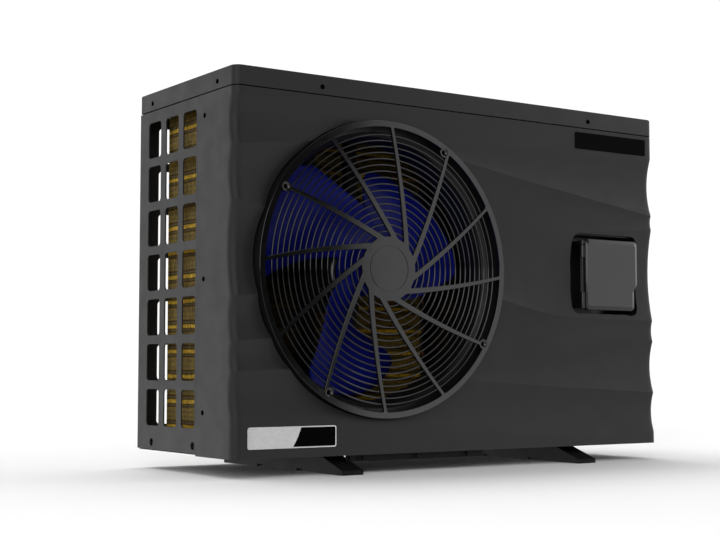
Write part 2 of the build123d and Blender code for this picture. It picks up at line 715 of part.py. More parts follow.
def hairpins():
    """Copper return bends on both ends of the coil."""
    bends = []
    count = int((COIL_Z[1] - COIL_Z[0] - 20) // (2 * TUBE_PITCH))
    for k in range(count):
        z = COIL_Z[0] + 22 + 2 * TUBE_PITCH * k
        half = TUBE_PITCH / 2
        for depth in (COIL_T * 0.28, COIL_T * 0.72):
            x = COIL_END_X + 1.5
            y = COIL_Y - depth
            arc = ThreePointArc((x, y, z - half), (x + half, y, z), (x, y, z + half))
            bends.append(sweep(Plane((x, y, z - half), z_dir=(1, 0, 0)) * Circle(TUBE_R), path=arc))
            x = COIL_X + depth
            y = COIL_END_Y - 1.5
            arc = ThreePointArc((x, y, z - half), (x, y - half, z), (x, y, z + half))
            bends.append(sweep(Plane((x, y, z - half), z_dir=(0, -1, 0)) * Circle(TUBE_R), path=arc))
    return group(bends)


add("coil_fins", coil_fins())
add("coil_end_plates", coil_end_plates())
add("coil_return_bends", hairpins())


# ---------------------------------------------------------------- compressor set
COMP_R = 58.0
COMP_Z = (DECK + 14.0, DECK + 290.0)
NECK_R = 8.4            # waist of the rubber isolators


def compressor():
    can = rod_z(COMP_X, COMP_Y, COMP_R, COMP_Z)
    can = fillet(can.edges(), 18)
    feet = rod_z(COMP_X, COMP_Y, 40, (COMP_Z[0] - 2, COMP_Z[0] + 2))
    for x, y in COMP_FEET:
        length = hypot(x - COMP_X, y - COMP_Y)
        angle = degrees(atan2(y - COMP_Y, x - COMP_X))
        arm = Pos(COMP_X, COMP_Y, COMP_Z[0]) * Rot(0, 0, angle) * Pos(length / 2, 0, 0) * Box(
            length, 30, 4)
        feet += arm + rod_z(x, y, 15, (COMP_Z[0] - 2, COMP_Z[0] + 2))
    can += feet
    for x, y in COMP_FEET:
        can -= rod_z(x, y, NECK_R + 0.1, (COMP_Z[0] - 9, COMP_Z[0] + 9))
    return can


def compressor_mounts():
    """Rubber isolators with a waist that holds the compressor's feet."""
    mounts = []
    for x, y in COMP_FEET:
        low = rod_z(x, y, 13, (DECK, COMP_Z[0] - 2))
        neck = rod_z(x, y, NECK_R, (COMP_Z[0] - 2, COMP_Z[0] + 2))
        cap = rod_z(x, y, 12, (COMP_Z[0] + 2, COMP_Z[0] + 10))
        mounts.append(low + neck + cap - rod_z(x, y, HOLE_R, (DECK - 1, COMP_Z[0] + 20)))
    return group(mounts)


def compressor_bolts():
    bolts = []
    for x, y in COMP_FEET:
        head = Pos(x, y, PAN_Z - BOLT_HEAD) * extrude(RegularPolygon(HEX_R, 6), BOLT_HEAD)
        nut = Pos(x, y, COMP_Z[0] + 10) * extrude(RegularPolygon(HEX_R, 6), BOLT_HEAD + 1)
        bolts.append(head + nut + rod_z(x, y, BOLT_R, (PAN_Z, COMP_Z[0] + 18)))
    return group(bolts)


def terminal_cover():
    cap = rod_z(COMP_X - 18, COMP_Y - 8, 20, (COMP_Z[1], COMP_Z[1] + 26))
    return fillet(cap.edges().sort_by(Axis.Z)[-1], 5)


ACC_X, ACC_Y, ACC_R = 186.0, 118.0, 28.0
ACC_Z = (DECK + 60.0, DECK + 230.0)


def accumulator():
    can = rod_z(ACC_X, ACC_Y, ACC_R, ACC_Z)
    can = fillet(can.edges(), 12)
    stand = rod_z(ACC_X, ACC_Y, 16, (DECK, ACC_Z[0] + 2))
    return can + stand


VALVE_Y, VALVE_Z = 70.0, DECK + 372.0
VALVE_X = (195.0, 285.0)


def four_way_valve():
    body = rod_x(VALVE_Y, VALVE_Z, 13, VALVE_X)
    body = fillet(body.edges(), 4)
    coil = block((225, 255), (VALVE_Y - 38, VALVE_Y - 12), (VALVE_Z - 14, VALVE_Z + 14))
    return body + coil


def expansion_valve():
    body = rod_z(330, -60, 9, (DECK + 346, DECK + 380))
    coil = rod_z(330, -60, 20, (DECK + 380, DECK + 408))
    return body + coil


add("compressor", compressor())
add("compressor_mounts", compressor_mounts())
add("compressor_bolts", compressor_bolts())
add("compressor_terminal_cover", terminal_cover())
add("accumulator", accumulator())
add("four_way_valve", four_way_valve())
add("expansion_valve", expansion_valve())


# ---------------------------------------------------------------- water heat exchanger
HX_X, HX_Y, HX_R = WATER_X, 62.0, 76.0
HX_Z = (DECK + 6.0, DECK + 410.0)


def heat_exchanger():
    shell = rod_z(HX_X, HX_Y, HX_R, HX_Z)
    shell = fillet(shell.edges().sort_by(Axis.Z)[-1], 14)
    for z in (HX_Z[0] + 20, HX_Z[1] - 36):
        shell += rod_z(HX_X, HX_Y, HX_R + 5, (z, z + 16))
    shell -= rod_z(HX_X, HX_Y, HX_R - 6, (HX_Z[0] + 8, HX_Z[1] - 12))
    for z in (WATER_LOW, WATER_HIGH):
        shell -= rod_y(HX_X, z, PIPE_R - 4, (HX_Y + 20, Y1))
    return shell


def titanium_coil():
    """Helical titanium tube in the shell, as a stack of closed turns."""
    turns = []
    pitch, r_coil, r_tube = 22.0, 52.0, 7.0
    count = int((HX_Z[1] - HX_Z[0] - 60) // pitch)
    for k in range(count):
        turns.append(Pos(HX_X, HX_Y, HX_Z[0] + 26 + pitch * k) * Torus(r_coil, r_tube))
    return group(turns)


UNION_Y = (Y1 + 2.0, FOOT_L / 2)
UNION_R = 36.0


def water_stub(z):
    """PVC pipe from the shell to the outside, with the collar that a union nut pulls on."""
    pipe = rod_y(WATER_X, z, PIPE_R, (HX_Y, UNION_Y[1] - 2))
    pipe -= rod_z(HX_X, HX_Y, HX_R + 0.02, (0, ZT))
    collar = rod_y(WATER_X, z, PIPE_R + 4, (UNION_Y[0] - 1.5, UNION_Y[0] + 3))
    body = pipe + collar - rod_y(WATER_X, z, PIPE_R - 4, (0, UNION_Y[1] + 9))
    return body


def union_nut(z):
    nut = Rot(-90, 0, 0) * extrude(RegularPolygon(UNION_R + 2, 8), UNION_Y[1] - UNION_Y[0] - 4)
    nut = Pos(WATER_X, UNION_Y[0] + 3.3, z) * nut
    return nut - rod_y(WATER_X, z, PIPE_R + 0.08, (0, UNION_Y[1] + 9))


add("heat_exchanger", heat_exchanger())
add("titanium_coil", titanium_coil())
add("water_outlet_stub", water_stub(WATER_HIGH))
add("water_inlet_stub", water_stub(WATER_LOW))
add("union_nut_outlet", union_nut(WATER_HIGH))
add("union_nut_inlet", union_nut(WATER_LOW))


# ---------------------------------------------------------------- refrigerant pipes
def refrigerant_pipes():
    r, bend = 5.0, 18.0
    top = COMP_Z[1]
    discharge = tube([(COMP_X + 22, COMP_Y, top), (COMP_X + 22, COMP_Y, VALVE_Z + 50),
                      (COMP_X - 12, VALVE_Y, VALVE_Z + 50), (COMP_X - 12, VALVE_Y, VALVE_Z + 13)],
                     r, bend)
    suction = tube([(ACC_X, ACC_Y, ACC_Z[1]), (ACC_X, ACC_Y, VALVE_Z - 60),
                    (ACC_X + 54, VALVE_Y, VALVE_Z - 60), (ACC_X + 54, VALVE_Y, VALVE_Z - 13)],
                   r, bend)
    liquid = tube([(330, -60, DECK + 346), (330, -60, DECK + 310), (330, 6, DECK + 310)], r, bend)
    return group(discharge, suction, liquid)


add("refrigerant_pipes", refrigerant_pipes())


# ---------------------------------------------------------------- electrical box
EBOX_X, EBOX_Y, EBOX_Z = (170.0, 470.0), (Y0 + 40.0, 130.0), (ZP - 165.0, ZP - 12.0)


def electrical_box():
    box = block(EBOX_X, EBOX_Y, EBOX_Z)
    box -= block((EBOX_X[0] + SHEET, EBOX_X[1] - SHEET), (EBOX_Y[0] + SHEET, EBOX_Y[1] - SHEET),
                 (EBOX_Z[0] + SHEET, EBOX_Z[1] + 1))
    for x in (EBOX_X[0] + 40, EBOX_X[0] + 80):
        box -= rod_y(x, EBOX_Z[0] + 30, 8, (EBOX_Y[1] - 4, EBOX_Y[1] + 2))
    return box


def electrical_lid():
    lid = block(EBOX_X, EBOX_Y, (EBOX_Z[1] + 0.2, EBOX_Z[1] + 0.2 + SHEET))
    return lid


def main_board():
    z = EBOX_Z[0] + 14
    board = block((200, 380), (EBOX_Y[0] + 20, EBOX_Y[1] - 30), (z, z + 1.6))
    parts = [((215, 245), (-110, -80), 30), ((260, 290), (-110, -70), 22), ((310, 360), (-100, -60), 18),
             ((215, 240), (-40, -10), 35), ((260, 330), (-30, 10), 12), ((345, 370), (-30, 30), 26),
             ((215, 250), (20, 80), 16), ((270, 320), (40, 85), 20)]
    for x, y, h in parts:
        board += block(x, y, (z + 1.6, z + 1.6 + h))
    return board


def board_posts():
    z = (EBOX_Z[0] + SHEET, EBOX_Z[0] + 14)
    return group([rod_z(x, y, 4, z) for x in (208, 372) for y in (EBOX_Y[0] + 28, EBOX_Y[1] - 38)])


def terminal_block():
    base = block((400, 455), (-60, 60), (EBOX_Z[0] + SHEET, EBOX_Z[0] + 24))
    for k in range(6):
        y = -50 + 20 * k
        base -= block((404, 426), (y - 7, y + 7), (EBOX_Z[0] + 14, EBOX_Z[0] + 30))
        base -= rod_z(442, y, 5, (EBOX_Z[0] + 16, EBOX_Z[0] + 30))
    return base


def cable_glands():
    glands = []
    for x in GLAND_XS:
        body = rod_y(x, GLAND_Z, 10, (Y1 - 14, Y1 + 10))
        flange = Pos(x, Y1, GLAND_Z) * Rot(-90, 0, 0) * extrude(RegularPolygon(14, 6), 6)
        nut = Pos(x, Y1 - SHEET - 6, GLAND_Z) * Rot(-90, 0, 0) * extrude(RegularPolygon(14, 6), 6)
        dome = Pos(x, Y1 + 14, GLAND_Z) * Rot(-90, 0, 0) * Cone(11.5, 8.5, 14)
        glands.append(body + flange + nut + dome - rod_y(x, GLAND_Z, 5, (0, Y1 + 40)))
    return group(glands)


add("electrical_box", electrical_box())
add("electrical_lid", electrical_lid())
add("main_board", main_board())
add("board_posts", board_posts())
add("terminal_block", terminal_block())
add("cable_glands", cable_glands())


# ---------------------------------------------------------------- control pocket
POCKET_Y = (Y0 + 16.0, Y0 + 62.0)
POCKET_T = 2.0


def control_pocket():
    """Moulded tray behind the front cover, with a flange on the cover's inner side."""
    outer = front_plate((POCKET_X[0] + 0.5, POCKET_X[1] - 0.5), (POCKET_Z[0] + 0.5, POCKET_Z[1] - 0.5),
                        POCKET_R - 0.5, (Y0 + 12, POCKET_Y[1]))
    flange = front_plate((POCKET_X[0] - 10, POCKET_X[1] + 10), (POCKET_Z[0] - 10, POCKET_Z[1] + 10),
                         POCKET_R + 8, (POCKET_Y[0], POCKET_Y[0] + 3))
    hollow = front_plate((POCKET_X[0] + POCKET_T, POCKET_X[1] - POCKET_T),
                         (POCKET_Z[0] + POCKET_T, POCKET_Z[1] - POCKET_T), POCKET_R - POCKET_T,
                         (Y0, POCKET_Y[1] - POCKET_T))
    tray = outer + flange - hollow
    for z in HINGE_Z:
        tray += block((HINGE_X - 3, HINGE_X + 3), (HINGE_Y, POCKET_Y[1] - POCKET_T), z)
        tray += rod_z(HINGE_X, HINGE_Y, KNUCKLE_R, z)
        tray -= rod_z(HINGE_X, HINGE_Y, PIN_R + 0.05, (z[0] - 1, z[1] + 1))
    return tray


COVER_X = (300.0, 439.0)
COVER_Z = (ZB + 264.0, ZB + 405.0)
COVER_Y = (Y0 - 6.0, Y0 + 4.0)
HINGE_X = 294.0
HINGE_Y = Y0 + 2.0
PIN_R = 2.0
KNUCKLE_R = 4.5
HINGE_Z = [(ZB + 268.0, ZB + 276.0), (ZB + 393.0, ZB + 401.0)]
COVER_KNUCKLES = [(ZB + 276.4, ZB + 300.0), (ZB + 369.0, ZB + 392.6)]


def control_cover():
    """Flip cover with bevelled edges and a finger notch at its lower right corner."""
    plate = front_plate(COVER_X, COVER_Z, 8, COVER_Y)
    plate = chamfer(plate.faces().sort_by(Axis.Y)[0].edges(), 2.5)
    notch_z = ZB + 316.0
    cut = make_face(Polyline((COVER_X[1] + 1, notch_z), (COVER_X[1] - 9, notch_z - 9),
                             (COVER_X[1] - 9, COVER_Z[0] - 1), (COVER_X[1] + 1, COVER_Z[0] - 1), close=True))
    plane = Plane((0, COVER_Y[1] + 1, 0), x_dir=(1, 0, 0), z_dir=(0, -1, 0))
    plate -= extrude(plane * cut, 30)
    hollow = front_plate((COVER_X[0] + 2.5, COVER_X[1] - 12), (COVER_Z[0] + 2.5, COVER_Z[1] - 2.5), 6,
                         (COVER_Y[0] + 2.5, COVER_Y[1] + 1))
    plate -= hollow
    for z in COVER_KNUCKLES:
        arm = block((HINGE_X, COVER_X[0] + 1), (HINGE_Y - 3, HINGE_Y + 2), z)
        plate += arm + rod_z(HINGE_X, HINGE_Y, KNUCKLE_R, z)
    for z in COVER_KNUCKLES:
        plate -= rod_z(HINGE_X, HINGE_Y, PIN_R + 0.05, (z[0] - 1, z[1] + 1))
    return plate


def cover_pin():
    return rod_z(HINGE_X, HINGE_Y, PIN_R, (HINGE_Z[0][0] - 1, HINGE_Z[1][1] + 1))


PAD_X = (322.0, 436.0)
PAD_Z = (ZB + 272.0, ZB + 400.0)
PAD_Y = (Y0 + 36.0, POCKET_Y[1] - POCKET_T)
WINDOW_X = (336.0, 422.0)
WINDOW_Z = (ZB + 322.0, ZB + 388.0)
BUTTON_Z = ZB + 297.0
BUTTON_XS = {"power": 345.0, "mode": 368.0, "down": 391.0, "up": 414.0}
BUTTON_R = 8.0
BUTTON_TRAVEL = 1.2


def control_panel():
    """Keypad and display unit on the pocket's back wall."""
    body = front_plate(PAD_X, PAD_Z, 6, PAD_Y)
    body = chamfer(body.faces().sort_by(Axis.Y)[0].edges(), 1.5)
    body -= front_plate(WINDOW_X, WINDOW_Z, 3, (PAD_Y[0] - 1, PAD_Y[0] + 3))
    for x in BUTTON_XS.values():
        body -= rod_y(x, BUTTON_Z, BUTTON_R + CLEAR, (PAD_Y[0] - 1, PAD_Y[0] + 8))
    return body


def display_window():
    return front_plate((WINDOW_X[0] + 0.2, WINDOW_X[1] - 0.2), (WINDOW_Z[0] + 0.2, WINDOW_Z[1] - 0.2),
                       2.8, (PAD_Y[0] + 0.6, PAD_Y[0] + 3))


def button(x):
    cap = rod_y(x, BUTTON_Z, BUTTON_R, (PAD_Y[0] - 2, PAD_Y[0] + 5))
    return chamfer(cap.faces().sort_by(Axis.Y)[0].edges(), 0.8)


add("control_pocket", control_pocket())
add("control_cover", control_cover())
add("cover_pin", cover_pin())
add("control_panel", control_panel())
add("display_window", display_window())
for label, bx in BUTTON_XS.items():
    add("button_" + label, button(bx))


# ---------------------------------------------------------------- badges
def badge(x, z, r, y_front):
    return front_plate(x, z, r, (y_front, y_front + 1.5))


NAME_X, NAME_Z = (276.0, 468.0), (ZB + 583.0, ZB + 616.0)
SERIES_X, SERIES_Z = (-464.0, -288.0), (ZB + 15.0, ZB + 52.0)
add("name_badge", badge(NAME_X, NAME_Z, 3, Y0 - 1.52))
add("series_badge", badge(SERIES_X, SERIES_Z, 4, Y0 - 1.52))

for name, shape in NODES.items():
    export_step(shape, f"parts/{name}.step")
    print(name, round(shape.volume / 1000, 1), "cm3")
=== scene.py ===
import json
from contextlib import contextmanager
from math import cos, pi, radians, sin, sqrt, tau

import bmesh
import bpy
from mathutils import Matrix, Vector


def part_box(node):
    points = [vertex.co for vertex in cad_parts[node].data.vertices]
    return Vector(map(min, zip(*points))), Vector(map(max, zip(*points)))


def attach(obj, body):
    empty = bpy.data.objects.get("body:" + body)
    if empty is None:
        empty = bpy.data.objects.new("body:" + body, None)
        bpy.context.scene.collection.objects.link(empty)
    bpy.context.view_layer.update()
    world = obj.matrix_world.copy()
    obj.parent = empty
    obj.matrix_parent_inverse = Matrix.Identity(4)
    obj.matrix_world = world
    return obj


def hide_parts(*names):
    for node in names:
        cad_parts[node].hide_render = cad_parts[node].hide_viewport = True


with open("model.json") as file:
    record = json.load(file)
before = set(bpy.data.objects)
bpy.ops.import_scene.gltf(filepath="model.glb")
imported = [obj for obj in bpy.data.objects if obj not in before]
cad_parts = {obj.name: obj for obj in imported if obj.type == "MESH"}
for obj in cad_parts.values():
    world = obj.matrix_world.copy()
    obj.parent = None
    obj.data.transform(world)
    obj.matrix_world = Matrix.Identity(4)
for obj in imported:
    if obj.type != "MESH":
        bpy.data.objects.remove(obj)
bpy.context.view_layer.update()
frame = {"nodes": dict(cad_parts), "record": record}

# Lengths below are in millimetres in the CAD's frame; mesh_from and its like scale them by MM.
MM = 0.001


def corners(node):
    """Lowest and highest corner of a CAD node, in millimetres."""
    low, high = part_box(node)
    return low / MM, high / MM


def linked(name, data):
    """New object in the scene."""
    made = bpy.data.objects.new(name, data)
    bpy.context.scene.collection.objects.link(made)
    return made


# ---------------------------------------------------------------- places read from the frame
FRONT_LOW, FRONT_HIGH = corners("front_panel")
LID_LOW, LID_HIGH = corners("top_cover")
GRILLE_LOW, GRILLE_HIGH = corners("fan_grille")
X0, X1 = FRONT_LOW.x, FRONT_HIGH.x
Y0, Y1 = LID_LOW.y, LID_HIGH.y
ZB, ZP, ZT = FRONT_LOW.z, FRONT_HIGH.z, LID_HIGH.z
Y_RET = FRONT_HIGH.y
FAN_X, FAN_Z = (GRILLE_LOW.x + GRILLE_HIGH.x) / 2, (GRILLE_LOW.z + GRILLE_HIGH.z) / 2
RING_R = (GRILLE_HIGH.x - GRILLE_LOW.x) / 2
CORNER_R = 15.0


# ---------------------------------------------------------------- camera
LENS, SENSOR_WIDTH = 70.76, 36.0
CAMERA_AT = (-1634.4, -2233.1, 185.0)
YAW, PITCH = radians(34.22), radians(4.02)


def add_camera():
    """Low three-quarter view from the unit's left front."""
    data = bpy.data.cameras.new("view_camera")
    data.lens, data.sensor_width = LENS, SENSOR_WIDTH
    camera = linked("view_camera", data)
    camera.location = Vector(CAMERA_AT) * MM
    camera.rotation_euler = (pi / 2 + PITCH, 0, -YAW)
    bpy.context.scene.camera = camera


add_camera()


# ---------------------------------------------------------------- node helpers for materials
# Sockets by number, for nodes whose sockets share names.
RANGE_INPUTS = (1, 2, 3, 4)
MIX_INPUTS, MIX_OUTPUT = (0, 6, 7), 2


def math_node(tree, op, a, b):
    """Result of a math node over two numbers or sockets."""
    made = tree.nodes.new("ShaderNodeMath")
    made.operation = op
    for socket, value in zip(made.inputs, (a, b)):
        if isinstance(value, (int, float)):
            socket.default_value = value
        else:
            tree.links.new(value, socket)
    return made.outputs[0]


class Shader:
    """A Principled material under construction."""

    def __init__(self, name, rough=0.5, metal=0.0, **inputs):
        self.mat = bpy.data.materials.new(name)
        self.mat.use_nodes = True
        self.tree = self.mat.node_tree
        self.bsdf = self.tree.nodes["Principled BSDF"]
        self.set("Roughness", rough)
        self.set("Metallic", metal)
        for key, value in inputs.items():
            self.set(key.replace("_", " "), value)
        self.coords = self.node("ShaderNodeTexCoord").outputs["Object"]
        self.height = None

    def set(self, socket, value):
        self.bsdf.inputs[socket].default_value = value

    def node(self, kind, **props):
        made = self.tree.nodes.new(kind)
        for key, value in props.items():
            setattr(made, key, value)
        return made

    def link(self, a, b):
        self.tree.links.new(a, b)

    def noise(self, size, detail=3.0, rough=0.5, stretch=(1, 1, 1)):
        """Noise whose grain is about size millimetres."""
        scale = self.node("ShaderNodeVectorMath", operation="MULTIPLY")
        scale.inputs[1].default_value = [s / (size * MM) for s in stretch]
        self.link(self.coords, scale.inputs[0])
        tex = self.node("ShaderNodeTexNoise")
        tex.inputs["Scale"].default_value = 1.0
        tex.inputs["Detail"].default_value = detail
        tex.inputs["Roughness"].default_value = rough
        self.link(scale.outputs[0], tex.inputs["Vector"])
        return tex.outputs["Fac"]

    def remap(self, value, low, high, to_low, to_high):
        """Straight map of a value from one range to another, clamped."""
        ranged = self.node("ShaderNodeMapRange")
        for key, number in zip(RANGE_INPUTS, (low, high, to_low, to_high)):
            ranged.inputs[key].default_value = number
        self.link(value, ranged.inputs[0])
        return ranged.outputs[0]

    def math(self, op, a, b):
        return math_node(self.tree, op, a, b)

    def ramp(self, value, stops):
        """Colour ramp from (position, colour) pairs."""
        made = self.node("ShaderNodeValToRGB")
        band = made.color_ramp
        while len(band.elements) < len(stops):
            band.elements.new(0.5)
        for element, (place, colour) in zip(band.elements, stops):
            element.position = place
            element.color = (*colour, 1.0)
        self.link(value, made.inputs[0])
        return made.outputs[0]

    def mix(self, factor, a, b, blend="MIX"):
        made = self.node("ShaderNodeMix", data_type="RGBA", blend_type=blend)
        for index, value in zip(MIX_INPUTS, (factor, a, b)):
            if isinstance(value, tuple):
                made.inputs[index].default_value = (*value, 1.0)
            elif isinstance(value, (int, float)):
                made.inputs[index].default_value = value
            else:
                self.link(value, made.inputs[index])
        return made.outputs[MIX_OUTPUT]

    def colour(self, value):
        self.link(value, self.bsdf.inputs["Base Color"])

    def vary(self, base, other, size, detail=4.0, low=0.35, high=0.65):
        """Colour that drifts between two tones over patches of a size."""
        self.colour(self.ramp(self.noise(size, detail), [(low, base), (high, other)]))

    def rough_between(self, value, low, high):
        self.link(self.remap(value, 0.3, 0.7, low, high), self.bsdf.inputs["Roughness"])

    def bump(self, value, depth, strength=1.0):
        """Adds a height in millimetres over the value's range."""
        made = self.node("ShaderNodeBump")
        made.inputs["Strength"].default_value = strength
        made.inputs["Distance"].default_value = depth * MM
        self.link(value, made.inputs["Height"])
        if self.height is not None:
            self.link(self.height, made.inputs["Normal"])
        self.height = made.outputs[0]
        self.link(self.height, self.bsdf.inputs["Normal"])


def grey(value, warm=0.0):
    """Grey of a linear value, redder where warm is above zero."""
    return (value * (1 + warm), value, value * (1 - warm))


# ---------------------------------------------------------------- materials
def powder_coat(name, tone, rough=0.5, grain=1.1, warm=0.0, sheen=0.26):
    """Fine-textured powder coat: pebbled surface, slight drift of tone, faint dust."""
    s = Shader(name, rough, Specular_IOR_Level=sheen)
    drift = s.noise(160, 4)
    base = s.ramp(drift, [(0.35, grey(tone * 0.98, warm)), (0.65, grey(tone * 1.02, warm))])
    speck = s.remap(s.noise(2.2, 2), 0.62, 0.72, 0.0, 0.25)
    s.colour(s.mix(speck, base, grey(tone * 1.7, warm)))
    s.rough_between(s.noise(35, 3), rough - 0.04, rough + 0.05)
    s.bump(s.noise(grain, 2), 0.05, 0.55)
    s.bump(s.noise(90, 2), 0.1, 0.2)
    return s.mat


def moulding(name, tone, rough=0.4, warm=0.0, sheen=0.5):
    """Moulded plastic with a spark-eroded grain and a little sheen variation."""
    s = Shader(name, rough, Specular_IOR_Level=sheen)
    s.vary(grey(tone * 0.92, warm), grey(tone * 1.08, warm), 60)
    s.rough_between(s.noise(18, 3), rough * 0.85, rough * 1.15)
    s.bump(s.noise(0.8, 2), 0.02, rough)
    return s.mat


def bright_metal(name, tone, rough=0.32, spangle=18.0, warm=0.0):
    """Galvanised or plated steel with crystalline patches and fine brushing."""
    s = Shader(name, rough, 1.0)
    cells = s.node("ShaderNodeTexVoronoi")
    cells.inputs["Scale"].default_value = 1.0 / (spangle * MM)
    s.link(s.coords, cells.inputs["Vector"])
    patch = s.remap(cells.outputs["Color"], 0, 1, 0.0, 1.0)
    s.colour(s.mix(patch, grey(tone * 0.82, warm), grey(tone, warm)))
    s.rough_between(s.noise(8, 4), rough - 0.08, rough + 0.12)
    s.bump(s.noise(0.6, 2, stretch=(1, 1, 9)), 0.01, 0.4)
    return s.mat


def copper_metal():
    """Dull copper tube, tarnished in patches."""
    s = Shader("copper", 0.3, 1.0)
    s.vary((0.16, 0.065, 0.035), (0.1, 0.04, 0.024), 25, low=0.4, high=0.75)
    s.rough_between(s.noise(6, 4), 0.22, 0.42)
    s.bump(s.noise(1.5, 2), 0.03, 0.3)
    return s.mat


def brass_metal():
    """Machined brass with light brushing."""
    s = Shader("brass", 0.3, 1.0)
    s.vary((0.6, 0.43, 0.17), (0.42, 0.3, 0.12), 14)
    s.rough_between(s.noise(4, 3), 0.2, 0.36)
    s.bump(s.noise(0.5, 2, stretch=(1, 6, 1)), 0.01, 0.4)
    return s.mat


def fan_blue():
    """Deep blue moulded plastic, matt, with slight sink marks."""
    s = Shader("fan_blue", 0.34, Specular_IOR_Level=0.12)
    s.vary((0.003, 0.006, 0.13), (0.005, 0.010, 0.18), 80)
    s.rough_between(s.noise(40, 3), 0.28, 0.4)
    s.bump(s.noise(14, 2), 0.12, 0.2)
    return s.mat


BAND_PITCH = 44.85  # every second row of coil tubes gets a painted highlight band
BAND_TOP = ZB + 584.5  # height of the uppermost painted highlight band
WHOLE_TURNS = 40  # keeps the band count above zero at every height
SHADE_COVER = 0.9  # share of the colour that the painted shade hides where it is darkest
# Colour of the painted shade.
PAINTED_SHADE_TONE = (0.012, 0.009, 0.005)
# Fades into the painted shade on the coil's inner side, low on the left: axis, then lit and shaded places.
SHADED_PLACES = [("X", (X0 + 40.0, X0 + 54.0)), ("X", (-130.0, -175.0)), ("Y", (Y1 - 35.0, Y1 - 50.0)),
         ("Z", (FAN_Z + 70.0, FAN_Z + 10.0))]


def gold_fin():
    """Gold-coated fins: painted highlight bands over the tube rows, painted shade beside them, mottled
    between, and painted shade on the inner side low on the left.
    """
    s = Shader("gold_fin", 0.4, 0.55)
    split = s.node("ShaderNodeSeparateXYZ")
    s.link(s.coords, split.inputs[0])
    wobble = s.remap(s.noise(30, 2), 0, 1, -0.035, 0.035)
    turns = s.math("MULTIPLY_ADD", split.outputs["Z"], 1 / (BAND_PITCH * MM))
    turns.node.inputs[2].default_value = 0.5 - BAND_TOP / BAND_PITCH + WHOLE_TURNS
    place = s.math("FRACT", s.math("ADD", turns, wobble), 0.0)
    # bright is the painted highlight over a tube row; brown is the painted shade beside it.
    bright, tan = (1.0, 0.72, 0.09), (0.56, 0.4, 0.09)
    brown, dull = (0.12, 0.062, 0.02), (0.36, 0.28, 0.1)
    painted_band_light_shade = s.ramp(place, [(0.0, tan), (0.1, dull), (0.24, tan), (0.3, brown), (0.36, dull),
                           (0.41, brown), (0.45, bright), (0.56, bright), (0.6, brown), (0.66, dull),
                           (0.74, brown), (0.8, tan), (0.9, dull), (1.0, tan)])
    mottle = s.remap(s.noise(1.8, 3, 0.75), 0.35, 0.65, 0.3, 1.35)
    streak = s.remap(s.noise(3.0, 2, 0.6, stretch=(1, 1, 0.1)), 0.35, 0.65, 0.6, 1.15)
    tone = s.mix(1.0, s.mix(1.0, painted_band_light_shade, mottle, "MULTIPLY"), streak, "MULTIPLY")
    dark = SHADE_COVER
    for axis, (start, end) in SHADED_PLACES:
        dark = s.math("MULTIPLY", s.remap(split.outputs[axis], start * MM, end * MM, 0.0, 1.0), dark)
    # Painted shade darkens the coil's inner side, low on the left.
    s.colour(s.mix(dark, tone, PAINTED_SHADE_TONE))
    s.rough_between(s.noise(5, 3), 0.3, 0.5)
    s.bump(s.noise(2.5, 2), 0.25, 0.5)
    return s.mat


def circuit_green():
    """Green board with darker squares of copper under the lacquer."""
    s = Shader("circuit_green", 0.4)
    cells = s.node("ShaderNodeTexVoronoi", distance="CHEBYCHEV")
    cells.inputs["Scale"].default_value = 1 / (9 * MM)
    s.link(s.coords, cells.inputs["Vector"])
    mask = s.remap(cells.outputs["Distance"], 0.28, 0.32, 0.0, 1.0)
    s.colour(s.mix(mask, (0.02, 0.12, 0.04), (0.012, 0.05, 0.02)))
    s.bump(mask, 0.1, 0.4)
    return s.mat


def tinted_window():
    """Dark glossy window over the display."""
    s = Shader("display_glass", 0.08)
    s.vary((0.006, 0.008, 0.01), (0.01, 0.012, 0.015), 30)
    s.rough_between(s.noise(12, 3), 0.05, 0.1)
    s.set("Coat Weight", 0.6)
    return s.mat


def brushed_plate(name, tone):
    """Thin metal plate, brushed along its length."""
    s = Shader(name, 0.3, 1.0)
    s.vary(grey(tone * 0.9), grey(tone), 40)
    s.rough_between(s.noise(0.5, 3, stretch=(0.02, 1, 1)), 0.22, 0.4)
    s.bump(s.noise(0.4, 2, stretch=(0.02, 1, 1)), 0.01, 0.5)
    return s.mat


def pale_floor():
    """Matt, nearly white floor."""
    s = Shader("pale_floor", 0.9, Specular_IOR_Level=0.0)
    s.vary((0.975, 0.975, 0.975), (0.985, 0.985, 0.985), 900)
    return s.mat


